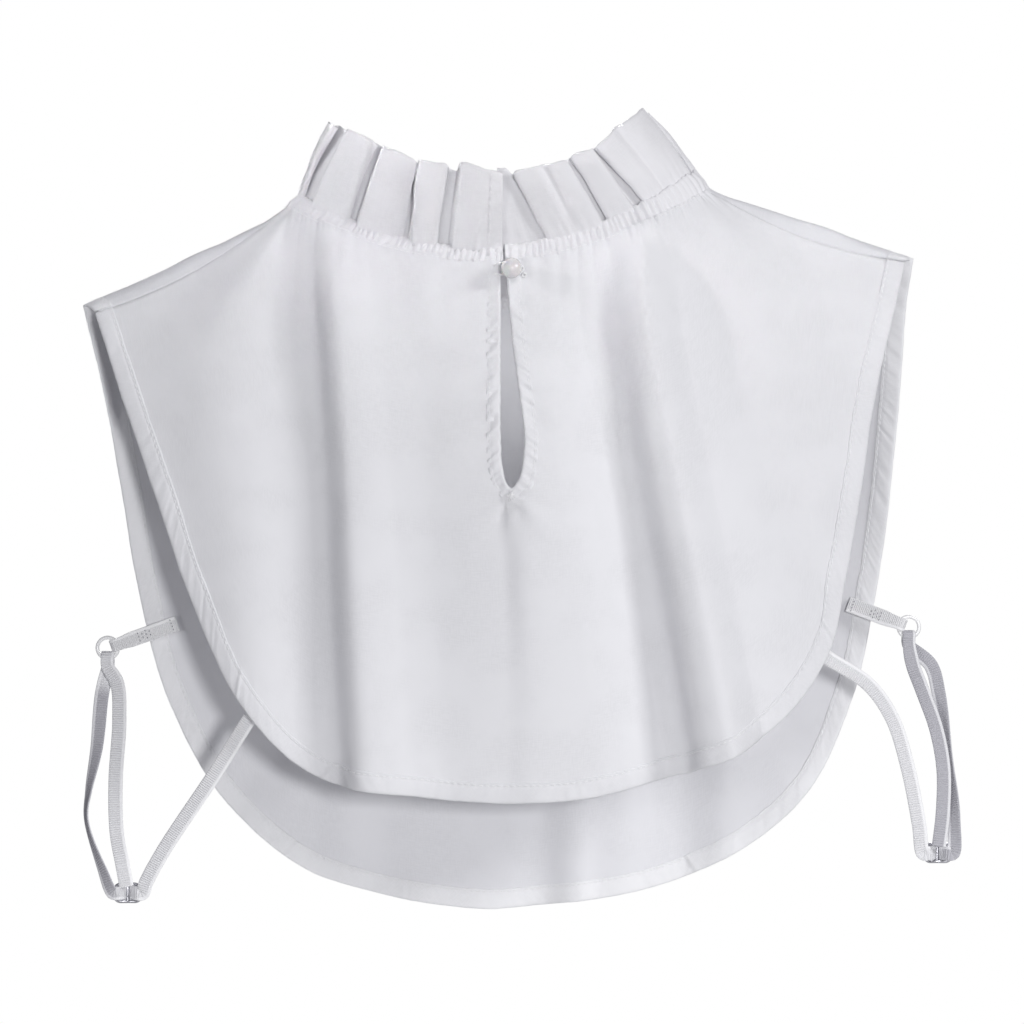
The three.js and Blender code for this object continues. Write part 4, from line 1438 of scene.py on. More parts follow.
@dataclass
class BackCloth:
    """The back panel's cloth, in two halves that meet below the slit."""

    finish: Finish
    wrinkles: Wrinkles
    columns: int = 150
    rows: int = 108
    top: float = -0.008
    low: float = 0.985
    crowding: float = 1.25
    drop: float = 240.0
    lip_inset: float = 1.6
    rays: float = 1.5
    FOOT = (5.9, -124.0)

    def slit_share(self, down: Array, side: int) -> Array:
        """Shares at which one lip of the cloth lies, one a row.

        Args:
            down: Places of the rows, from the neck to the edge.
            side: -1 for the left lip, 1 for the right one.

        Returns:
            The shares.
        """
        share = np.full(down.shape, 0.5)
        for _ in range(40):
            points = BACK.at(share, down)
            left, right = SLIT.lips(points[:, 2])
            foot = SLIT.LIP[SLIT.FOOT]
            beside = left - self.lip_inset if side < 0 else right + self.lip_inset
            lip = np.where(points[:, 2] > foot[1], beside, foot[0])
            ahead = BACK.at(share + 1e-4, down)[:, 0] - points[:, 0]
            share = share + np.clip((lip - points[:, 0]) / (ahead / 1e-4), -0.02, 0.02)
        return share

    def build(self) -> Piece:
        """Make the cloth."""
        down = mix(self.top, self.low, np.linspace(0.0, 1.0, self.rows) ** self.crowding)
        webs = []
        for side in (-1, 1):
            lip = self.slit_share(down, side)
            across = np.linspace(0.0, 1.0, self.columns)
            start, end = (0.0, lip) if side < 0 else (lip, 1.0)
            share = np.stack([mix(start, end, a) for a in across])
            fall = np.broadcast_to(down, share.shape)
            base = BACK.at(share, fall)
            lift = self.wrinkles.height(BACK, share, fall, base) + self.slit_pull(base)
            points = base + BACK.normal(share, fall) * lift[..., None]
            webs.append(Web(points, np.stack([base[..., 0], fall * self.drop], axis=-1)))
        piece = thicken(make_piece("back_cloth", webs, self.finish, weld=True))
        return settle(piece, ["back_panel"])

    def slit_pull(self, points: Array) -> Array:
        """Puckers beside the slit's binding and below its foot.

        Args:
            points: The panel's points.

        Returns:
            Their heights.
        """
        x, z = points[..., 0], points[..., 2]
        left, right = SLIT.lips(z)
        aside = np.maximum(np.where(x < (left + right) / 2, left - x, x - right), 0.0)
        foot_x, foot_z = x - self.FOOT[0], z - self.FOOT[1]
        away = np.hypot(foot_x, foot_z)
        turn = np.arctan2(foot_x, -foot_z)
        fade = np.exp(-away / 11.0) * smooth(away / 4.0) * smooth(-foot_z / 6.0 + 0.9)
        return SLIT.puckers(x, z, aside) + self.rays * np.cos(turn * 7.0 + 0.6) * fade


@dataclass
class FrontCloth:
    """The front panel's cloth, over both shoulders to the seams."""

    finish: Finish
    wrinkles: Wrinkles
    columns: int = 250
    rows: int = 100
    wraps: int = 20
    over: float = 1.1
    top: float = -0.006
    low: float = 0.985
    crowding: float = 1.2
    drop: float = 290.0

    def build(self) -> Piece:
        """Make the cloth."""
        over = np.linspace(-self.over * WRAP, 0.0, self.wraps)[:-1]
        share = np.concatenate([over, np.linspace(0.0, 1.0, self.columns), 1.0 - over[::-1]])
        down = mix(self.top, self.low, np.linspace(0.0, 1.0, self.rows) ** self.crowding)
        share, fall = np.meshgrid(share, down, indexing="ij")
        base = FRONT.at(share, fall)
        lift = self.wrinkles.height(FRONT, share, fall, base)
        points = base + FRONT.normal(share, fall) * lift[..., None]
        grain = np.stack([base[..., 0], fall * self.drop], axis=-1)
        piece = thicken(make_piece("front_cloth", [Web(points, grain)], self.finish))
        return settle(piece, ["front_panel"])


@dataclass
class EdgeTape:
    """Bias binding folded over the edge of a panel, with its two rows of stitches."""

    name: str
    panel: Panel
    wrinkles: Wrinkles
    finish: Finish
    thread: Finish
    node: str
    seed: int
    over: bool = False
    joins: Sequence[Triple] = ()
    pitch: float = 0.95
    width: float = 8.5
    sewn_at: float = 7.35
    sewn_high: float = 0.46
    ripple: float = 0.2
    outline: float = 0.13
    bead: float = 0.26
    bead_pitch: float = 2.75
    PROFILE = (
        (8.5, 0.25), (8.35, 0.55), (7.95, 0.68), (7.35, 0.36), (6.7, 0.7), (5.6, 0.82), (4.2, 0.85),
        (2.8, 0.85), (1.6, 0.8), (0.7, 0.66), (0.15, 0.4), (0.0, 0.0),
    )

    def shares(self) -> Array:
        """Shares of the stations along the edge."""
        main = np.linspace(0.0, 1.0, int(self.panel.edge.length / self.pitch))
        if not self.over:
            return main
        wrap = np.linspace(-WRAP, 0.0, 14)[:-1]
        return np.concatenate([wrap, main, 1.0 - wrap[::-1]])

    def faces(self, share: Array, inward: Array, high: Array) -> tuple[Array, Array]:
        """Points of the tape.

        Args:
            share: Places round the edge.
            inward: How far in from the edge.
            high: How far off the middle surface.

        Returns:
            The points, and directions out of the cloth.
        """
        down = self.panel.inset(share, inward)
        base = self.panel.at(share, down)
        out = self.panel.normal(share, down)
        return base + out * (high + self.wrinkles.soft(self.panel, share, base))[..., None], out

    def creases(self, along: Array, inward: Array, row: Array) -> Array:
        """Height of the slanting creases between the edge and the stitches, and past them.

        Args:
            along: Places along the tape.
            inward: How far in from the edge.
            row: 0 on the outer face, 1 on the inner one.

        Returns:
            The heights.
        """
        middle = np.sin(np.pi * np.clip(inward / 7.4, 0, 1)) ** 0.7 + 0.35 * (inward > 7.5)
        slant = along + 0.8 * inward * Ripple(self.seed + 9, 60.0).at(along)
        wave = Ripple(self.seed, 1.9).at(slant, row) + 0.6 * Ripple(self.seed + 1, 5.0).at(slant)
        return self.ripple * middle * wave

    def seams(self, share: Array, station: Array, along: Array, inward: Array) -> Array:
        """Height of the seams in which lengths of tape are joined.

        Args:
            share: Shares of the stations.
            station: How far along each station is.
            along: Places along the tape.
            inward: How far in from the edge.

        Returns:
            The heights.
        """
        edge = self.panel.edge.along(np.clip(share, 0, 1))[:, [0, 2]]
        high = np.zeros_like(along)
        for x, z, lean in self.joins:
            nearest = int(np.argmin(np.linalg.norm(edge - (x, z), axis=1)))
            off = along - station[nearest] - lean * (inward - 4.0)
            high += 0.6 * np.exp(-((off - 1.0) ** 2) / 0.6) - 0.5 * np.exp(-(off**2) / 0.25)
        return high

    def build(self) -> list[Piece]:
        """Make the tape and its stitches."""
        share = self.shares()
        station = lengths(self.faces(share, np.zeros_like(share), np.zeros_like(share))[0])
        section = both_sides(self.PROFILE)
        along, inward, high = laid(station, section)
        face = np.sign(high)
        row = np.where(face > 0, 0, 1)
        beads = Shirring(self.seed + 6, self.bead_pitch, 0.2).at(along, row)
        high += face * self.creases(along, inward, row)
        high += face * self.seams(share, station, along, inward)
        high += face * self.bead * beads * np.exp(-((inward - 7.5) ** 2) / 1.2)
        edge = Ripple(self.seed + 2, 13.0).at(along) + 0.5 * Ripple(self.seed + 3, 2.2).at(along)
        inward = inward + self.outline * edge * (1.0 - inward / self.width)
        inward = inward + 0.16 * Ripple(self.seed + 4, 2.4).at(along) * (inward > self.width - 0.5)
        points, _ = self.faces(np.broadcast_to(share[:, None], along.shape), inward, high)
        piece = make_piece(self.name, [tube(points, along, section)], self.finish)
        return [settle(piece, [self.node]), self.stitches(share)]

    def stitches(self, share: Array) -> Piece:
        """Make both rows of stitches.

        Args:
            share: Shares of the stations.

        Returns:
            The piece.
        """
        sewing, rows = Stitching(thread=0.42), []
        at = np.full_like(share, self.sewn_at)
        for face in (1, -1):
            line, out = self.faces(share, at, np.full_like(share, self.sewn_high * face))
            rows += sewing.row(line, out * face, 0.1)
        return sew(f"{self.name}_stitches", sewing, rows, self.thread, "cotton")


@dataclass
class KeyholeTape:
    """Narrow puckered binding round the slit, with the bar tack under its foot."""

    finish: Finish
    thread: Finish
    wrinkles: Wrinkles
    stations: int = 520
    width: float = 5.3
    sewn_at: float = 4.15
    sewn_high: float = 0.38
    end_reach: float = 7.0
    PROFILE = (
        (5.6, 0.05), (5.3, 0.28), (4.8, 0.45), (4.15, 0.28), (3.5, 0.62), (2.6, 0.75), (1.6, 0.8),
        (0.6, 1.05), (-0.2, 0.75), (-0.45, 0.0),
    )
    TACK = (5.9, -124.2)
    RAYS = ((80, 2.2), (45, 1.9), (12, 2.7), (-30, 1.9), (-68, 2.5))

    def faces(self, lip: Array, away: Array, inward: Array, high: Array) -> tuple[Array, Array]:
        """Points of the tape.

        Args:
            lip: Points of the lip.
            away: Directions away from the opening.
            inward: How far in from the lip.
            high: How far off the middle surface.

        Returns:
            The points, and directions out of the cloth.
        """
        seen = lip + away * inward[..., None]
        share, down = BACK.seen(seen[..., 0], seen[..., 2])
        base, out = BACK.at(share, down), BACK.normal(share, down)
        folds = SLIT.puckers(seen[..., 0], seen[..., 2], inward)
        return base + out * (high + folds + self.wrinkles.soft(BACK, share, base))[..., None], out

    def build(self) -> list[Piece]:
        """Make the tape, its stitches and the tack."""
        lip, away = SLIT.lip(self.stations)
        station = lengths(lip)
        section = both_sides(self.PROFILE)
        along, inward, high = laid(station, section)
        free = smooth(np.minimum(along, station[-1] - along) / self.end_reach)
        outer = 0.08 * Ripple(63, 2.1).at(along) + 0.15 * Ripple(64, 6.0).at(along)
        inward = inward + outer * (inward / self.width) * free
        inward = inward + 0.15 * Ripple(65, 1.9).at(along) * (1 - inward / self.width) * free
        points, _ = self.faces(lip[:, None], away[:, None], inward, high)
        piece = make_piece("keyhole_tape", [tube(points, along, section)], self.finish)
        return [settle(piece, ["keyhole_binding"]), self.stitches(lip, away), self.tack()]

    def stitches(self, lip: Array, away: Array) -> Piece:
        """Make both rows of stitches along the tape.

        Args:
            lip: Points of the lip.
            away: Directions away from the opening.

        Returns:
            The piece.
        """
        sewing, rows = Stitching(length=1.7, gap=0.9, thread=0.36), []
        at = np.full(len(lip), self.sewn_at)
        for face in (1, -1):
            line, out = self.faces(lip, away, at, np.full(len(lip), face * self.sewn_high))
            rows += sewing.row(line, out * face, 0.05)
        return sew("keyhole_stitches", sewing, rows, self.thread, "cotton")

    def tack(self) -> Piece:
        """Make the star of short stitches that closes the slit's foot."""
        x, z = self.TACK
        share, down = BACK.seen(np.array([x]), np.array([z]))
        out = BACK.normal(share, down)[0]
        base = BACK.at(share, down)
        centre = base[0] + out * (1.15 + self.wrinkles.soft(BACK, share, base)[0])
        side = unit(np.cross(out, (0.0, 0.0, 1.0)))
        up = np.cross(side, out)
        sewing = Stitching(thread=0.6, stations=7, sides=6, sink=0.1)
        rays = []
        for turn, long in self.RAYS:
            ray = side * math.cos(math.radians(turn)) + up * math.sin(math.radians(turn))
            rays.append((centre - ray * long, centre + ray * long, out))
        return sew("bar_tack", sewing, rays, self.thread, "cotton")


@dataclass
class NeckBand:
    """The gathered band between the panels and the ruffle."""

    finish: Finish
    thread: Finish
    first: float = 2.0
    last: float = 361.4
    pitch: float = 0.55
    thickness: float = 1.7
    tall: float = 8.0
    pucker: float = 0.9
    calm: float = 0.5
    calm_from: float = 66.0
    OUTER = (
        (0.0, 0.1), (0.05, 0.25), (0.16, 0.5), (0.32, 0.85), (0.5, 1.05), (0.7, 1.0), (0.86, 0.7),
        (0.97, 0.25),
    )

    def faces(self, angle: Array, high: Array, off: Array) -> Array:
        """Points of the band.

        Args:
            angle: Places round the neck, in degrees.
            high: From its lower edge (0) to its upper edge (1).
            off: Distances out of its middle surface.

        Returns:
            The points.
        """
        low, top = SEAM.point(angle), BASE.point(angle)
        low[..., 2] -= 0.5
        top[..., 2] += 0.1
        return mix(low, top, high[..., None]) + SEAM.out(angle) * off[..., None]

    def build(self) -> list[Piece]:
        """Make the band and its stitches."""
        around = np.linspace(self.first, self.last, 4000)
        reached = lengths(SEAM.point(around))
        station = np.linspace(0.0, reached[-1], int(reached[-1] / self.pitch))
        angle = np.interp(station, reached, around)
        half = self.thickness / 2
        section = np.array(
            [(v, half * h) for v, h in self.OUTER] + [(v, -half * h) for v, h in self.OUTER[::-1]])
        along, high, off = laid(station, section)
        face = np.sign(off)
        middle = SEAM.point(angle)
        calm = 1.0 - self.calm * smooth((middle[:, :1] - self.calm_from) / 12.0) * (middle[:, 1:2] < 0)
        around_neck = np.broadcast_to(neck_length(angle)[:, None], along.shape)
        gathers = SHIRRING.at(around_neck - SLANT * self.tall * high + 900.0 * (face < 0))
        wave = gathers + 0.35 * Ripple(72, 1.0).at(along, high * 2)
        off += face * self.pucker * calm * wave * (0.75 + 0.25 * np.sin(np.pi * high))
        edge = 0.05 * Ripple(73, 1.6).at(along) + 0.04 * SHIRRING.at(around_neck)
        high = high + edge * np.where(high > 0.5, 1, -1)
        points = self.faces(np.broadcast_to(angle[:, None], along.shape), high, off)
        web = tube(points, along, section * (self.tall, 1.0))
        band = settle(make_piece("gathered_band", [web], self.finish), ["neck_band"])
        sewing, rows = Stitching(length=1.8), []
        for face, place in ((-1, 0.18), (1, 0.12)):
            line = self.faces(angle, np.full_like(angle, place), np.full_like(angle, face * (half + 0.05)))
            rows += sewing.row(line, SEAM.out(angle) * face, 0.12)
        return [band, sew("band_stitches", sewing, rows, self.thread, "stand_cotton")]


class FoldEdge(Enum):
    """Which end of a pleat's face has the sharp edge."""

    NONE = "none"
    FROM = "from"
    TO = "to"
    LAST = "last"


@dataclass(frozen=True)
class Pleat:
    """One knife pleat, in degrees round the base and top ovals.

    Attributes:
        base: Where it starts and ends on the base oval.
        top: Where it starts and ends on the top oval.
        rise: Lift of its top corners, in millimetres.
        fold: Which end has the sharp edge.
        level: Layer at its start and its end.
        crease: Place, lift and depth of a soft crease, if it has one.
    """

    base: Pair
    top: Pair
    rise: Pair
    fold: FoldEdge
    level: Pair = (1.0, 1.0)
    crease: Triple | None = None


@dataclass
class Ruffle:
    """The pleated stand: one folded strip with a placket at the slit's left side."""

    finish: Finish
    thread: Finish
    rows: int = 24
    pitch: float = 0.85
    under: float = 5.5
    spread_base: float = 1.7
    spread_top: float = 2.8
    bow: float = 1.2
    front_pleats: int = 10
    front_span: Pair = (88.0, 255.0)
    recess: float = 4.5
    front_rise: float = -2.5
    hidden_drop: float = 1.8
    wall: float = 0.35
    floor: float = -1.7
    foot_tuck: float = 1.3
    tuck_from: float = 32.0
    tall: float = 30.0
    foot: float = -0.09
    cloth: float = 0.55
    hem: float = 6.8
    hem_rows: float = 1.2
    BACK_PLEATS = (
        Pleat((-1, 10.5), (3.5, 6.5), (1.3, 1.3), FoldEdge.NONE, (-1.0, -1.0)),
        Pleat((14.6, 31), (9.6, 28), (-1.2, -2.8), FoldEdge.FROM, (0.4, 1.5), (0.52, -1.6, 0.75)),
        Pleat((33.9, 42), (31.5, 38.5), (-1.5, -2.9), FoldEdge.FROM, (0.6, 1.5)),
        Pleat((47.7, 80), (42.3, 79.3), (-2.8, 0.2), FoldEdge.FROM, (0.7, -0.1), (0.3, -0.1, 0.8)),
        Pleat((262, 281.5), (264, 286.2), (0.5, 0.5), FoldEdge.TO, (-0.2, 0.6)),
        Pleat((294.2, 311.6), (302.8, 315.6), (3, 2.7), FoldEdge.TO, (1.4, 0.5)),
        Pleat((316.3, 331.4), (321, 333.4), (3, 1.6), FoldEdge.TO, (1.5, 0.4)),
        Pleat((334.5, 342), (335.5, 345.3), (1.6, 2.3), FoldEdge.TO, (1.5, 0.5)),
        Pleat((347.5, 361.3), (351.1, 365.3), (3.8, -1.2), FoldEdge.LAST, (1.5, 0.6)),
    )

    def pleats(self) -> list[Pleat]:
        """All pleats in order, those of the front worked out from their number."""
        first, last = self.front_span
        step = (last - first) / self.front_pleats
        front = []
        for k in range(self.front_pleats):
            start = first + k * step
            ends = (start, start + step - self.recess)
            fold = FoldEdge.FROM if start < 180 - step / 2 else FoldEdge.TO
            front.append(Pleat(ends, ends, (self.front_rise, self.front_rise), fold, (0.3, 0.3)))
        right = [pleat for pleat in self.BACK_PLEATS if pleat.base[1] < 180]
        left = [pleat for pleat in self.BACK_PLEATS if pleat.base[1] > 180]
        return [*right, *front, *left]

    def line(self) -> Array:
        """Folded line of the strip: base angle, top angle, lift and layer at each place."""
        rows: list[tuple[float, float, float, float]] = []
        tip = self.spread_base / 2
        deep = self.under
        tuck = ((0, -1.3), (deep, -1.3), (deep + tip, -0.9), (deep, -0.5), (0, -0.4), (-tip, 0))

        def put(pleat: Pleat, end: int, under: float, layer: float) -> None:
            """Add a place of the cloth folded under one end of a pleat."""
            base, top = pleat.base[end], pleat.top[end]
            base, top = base + under / float(BASE.step(base)), top + under / float(TOP.step(top))
            rows.append((base, top, pleat.rise[end] - self.hidden_drop * smooth((0.6 - layer) / 0.6), layer))

        def face(pleat: Pleat) -> None:
            """Add the visible face of a pleat."""
            place, lift, dent = pleat.crease or (0.5, sum(pleat.rise) / 2, 0.0)
            for share in np.linspace(0.0, 1.0, 25):
                high = mix(*pleat.level, share) + 0.12 * math.sin(math.pi * share)
                high -= dent * math.exp(-(((share - place) / 0.06) ** 2))
                rise = float(np.interp(share, (0.0, place, 1.0), (pleat.rise[0], lift, pleat.rise[1])))
                rows.append((mix(*pleat.base, share), mix(*pleat.top, share), rise, high))

        def wall(pleat: Pleat, end: int, other: Pleat) -> None:
            """Add the low cloth between one end of a pleat and the pleat beside it."""
            base = mix(pleat.base[end], other.base[1 - end], self.wall)
            top = mix(pleat.top[end], other.top[1 - end], self.wall)
            rows.append((base, top, min(pleat.rise[end], other.rise[1 - end]) - self.hidden_drop, self.floor))

        pleats = self.pleats()
        for k, pleat in enumerate(pleats):
            if pleat.fold in (FoldEdge.TO, FoldEdge.LAST):
                wall(pleat, 0, pleats[k - 1])
            if pleat.fold is FoldEdge.FROM:
                for under, layer in tuck:
                    put(pleat, 0, under, layer)
            face(pleat)
            if pleat.fold is FoldEdge.FROM:
                wall(pleat, 1, pleats[k + 1])
            if pleat.fold is FoldEdge.TO:
                for under, layer in tuck[::-1]:
                    put(pleat, 1, -under, layer)
        return np.array(rows, float)

    def points(self, line: Array, high: Array) -> Array:
        """Points of the strip.

        Args:
            line: Base angle, top angle, lift and layer at places.
            high: Heights from 0 to 1.

        Returns:
            The points.
        """
        base, top, rise, layer = (line[..., k] for k in range(4))
        foot = BASE.point(base)
        tucked = self.foot_tuck * smooth((foot[..., 0] - self.tuck_from) / 14.0) * (foot[..., 1] < 0)
        foot = foot + BASE.out(base) * (layer * self.spread_base - tucked)[..., None]
        head = TOP.point(top) + TOP.out(top) * (layer * self.spread_top)[..., None]
        head[..., 2] += rise
        bow = self.bow * np.sin(np.pi * high)
        return mix(foot, head, high[..., None]) + BASE.out(base) * bow[..., None]

    def build(self) -> list[Piece]:
        """Make the strip, its placket and its stitches."""
        rough = self.line()
        reached = lengths(self.points(rough, np.full(len(rough), 0.5)))
        fine = np.linspace(0.0, reached[-1], int(reached[-1] / 0.2))
        station = np.linspace(0.0, reached[-1], int(reached[-1] / self.pitch))
        line = self.rounded(np.stack([np.interp(fine, reached, column) for column in rough.T], axis=1), 3.5)
        line = np.stack([np.interp(station, fine, column) for column in line.T], axis=1)
        level = np.broadcast_to(np.linspace(self.foot, 1.0, self.rows), (len(line), self.rows))
        base = self.points(np.broadcast_to(line[:, None], (*level.shape, 4)), level)
        tall, along = level * self.tall, np.broadcast_to(station[:, None], level.shape)
        points = base + grid_normals(base) * self.lift(along, tall, reached[-1] - along)[..., None]
        points[..., 2] += (0.35 * Ripple(85, 4.0).at(along)) * smooth((level - 0.8) / 0.2)
        LOG.info("ruffle strip: %.0f mm long", reached[-1])
        web = Web(points, np.stack([along, tall], axis=-1))
        strip = thicken(make_piece("pleated_ruffle", [web], self.finish), self.cloth)
        settle(strip, ["ruffle"])
        return [strip, *self.placket(points, station)]

    @staticmethod
    def lift(along: Array, tall: Array, placket: Array) -> Array:
        """Height of the strip's gathers, swells and hem puckers.

        Args:
            along: Places along the strip.
            tall: Heights above the band.
            placket: Distances from the strip's end at the slit.

        Returns:
            The heights.
        """
        gathers = Ripple(81, 1.5).at(along) * np.exp(-np.maximum(tall, 0) / 6.0)
        soft = Swell(82, 10.0).at(along, tall) * np.clip(tall / 8.0, 0.2, 1.0)
        high = 0.4 * gathers + 0.35 * soft + 0.12 * Swell(83, 3.5).at(along, tall)
        return high + 0.55 * Ripple(84, 1.9).at(tall + 0.4 * placket) * np.exp(-((placket - 5.5) ** 2) / 7.0)

    def placket(self, points: Array, station: Array) -> list[Piece]:
        """Make the folded hem at the slit's left side, and its stitches.

        Args:
            points: The strip's points.
            station: How far along its columns are.

        Returns:
            The hem and the stitches.
        """
        hem = points[station[-1] - station < self.hem]
        out = grid_normals(hem)
        across = np.linspace(0.0, 1.0, len(hem))[:, None]
        puckers = Shirring(86, 3.0).at(np.arange(hem.shape[1]) * self.hem_rows)[None] - 0.4
        puckers = 0.45 * puckers * np.sin(np.pi * across) ** 0.5
        thick = (0.3 + 0.3 * smooth(across * 1.5) + puckers)[..., None]
        ring = np.concatenate([hem + out * thick, (hem - out * thick)[::-1]]).transpose(1, 0, 2)
        high, around = np.arange(len(ring)) * self.hem_rows, np.arange(ring.shape[1]) * self.pitch
        grain = np.stack(np.meshgrid(high, around, indexing="ij"), axis=-1)
        piece = make_piece("ruffle_placket", [Web(ring, grain, around=True, capped=True)], self.finish)
        sewing, rows = Stitching(length=1.7, thread=0.3), []
        for face in (1, -1):
            rows += sewing.row(hem[1, 3:] + out[1, 3:] * face * 0.62, out[1, 3:] * face, 0.05)
        return [
            settle(piece),
            sew("placket_stitches", sewing, rows, self.thread, "stand_cotton"),
        ]

    @staticmethod
    def rounded(line: Array, reach: float) -> Array:
        """Round the folds of a finely spaced line, and keep its ends.

        Args:
            line: Its rows.
            reach: How many rows a fold is rounded over.

        Returns:
            The rounded rows.
        """
        width = int(3 * reach)
        weights = np.exp(-0.5 * (np.arange(-width, width + 1) / reach) ** 2)
        weights /= weights.sum()
        padded = np.pad(line, ((width, width), (0, 0)), mode="reflect", reflect_type="odd")
        return np.stack([np.convolve(column, weights, mode="valid") for column in padded.T], axis=1)


@dataclass
class ButtonSet:
    """The pearl button on the right of the slit, and the loop from its left."""

    pearl: Finish
    thread: Finish
    centre: Triple = (4.6, -38.2, -29.0)
    radius: float = 4.3
    rings: int = 40
    corners: int = 48
    shank_back: float = -32.7
    shank_width: float = 2.4
    loop_y: float = -33.3
    loop_back: float = 1.9
    half_loop: float = 2.6
    coil: float = 0.75
    LOOP = ((-2.5, 0.7), (1, 1), (6.5, 1), (9.6, 0), (6.5, -1), (1, -1), (-2.5, -0.7))
    KNOT = (9.9, -34.0, -31.7)

    def bead(self) -> Web:
        """The round bead."""
        turn = np.linspace(0.0, np.pi, self.rings)
        size = np.maximum(np.sin(turn), 0.02)[:, None]
        deep = -self.radius * np.cos(turn) * (1.0 - 0.05 * np.cos(turn) ** 2)
        ring = ring_outline(2 * self.radius, 2 * self.radius, self.corners)
        rows = np.array(self.centre) + point3(ring[:, 0] * size, deep[:, None], ring[:, 1] * size)
        grain = np.stack(np.meshgrid(turn * 4, np.arange(self.corners) * 0.5, indexing="ij"), axis=-1)
        return Web(rows, grain, around=True, capped=True)

    def build(self) -> list[Piece]:
        """Make the button with its shank, and its loop with the knot."""
        x, y, z = self.centre
        axis = point3(x, np.linspace(y + self.radius * 0.7, self.shank_back + 1.5, 12), z)
        outline = ring_outline(self.shank_width, self.shank_width, 20)
        shank = loop_web(axis, (1.0, 0.0, 0.0), (0.0, 0.0, 1.0), outline)
        button = make_piece("pearl_button_round", [self.bead(), shank], self.pearl)
        course = [
            (on, self.loop_y + self.loop_back * (on < 0), z + up * self.half_loop) for on, up in self.LOOP
        ]
        turn = np.arange(0.0, 15.0, 0.7)
        coil = point3(self.coil * np.cos(turn), -0.09 * turn, self.coil * np.sin(turn)) + self.KNOT
        cords = [self.cord_web(Route(course), 0.45, 140), self.cord_web(Route(coil), 0.42, 160)]
        loop = make_piece("thread_loop", cords, self.thread)
        return [settle(button, ["pearl_button"]), settle(loop, ["button_loop"])]

    @staticmethod
    def cord_web(route: Route, radius: float, count: int) -> Web:
        """Sweep a round thread along a curve.

        Args:
            route: The curve.
            radius: Radius of the thread.
            count: Number of stations.

        Returns:
            The grid.
        """
        shares = np.linspace(0.0, 1.0, count)
        centres, runs = route.along(shares), route.turns(shares)
        side = unit(np.cross(runs, (0.0, 1.0, 0.05)))
        return loop_web(centres, side, np.cross(runs, side), ring_outline(2 * radius, 2 * radius, 10))


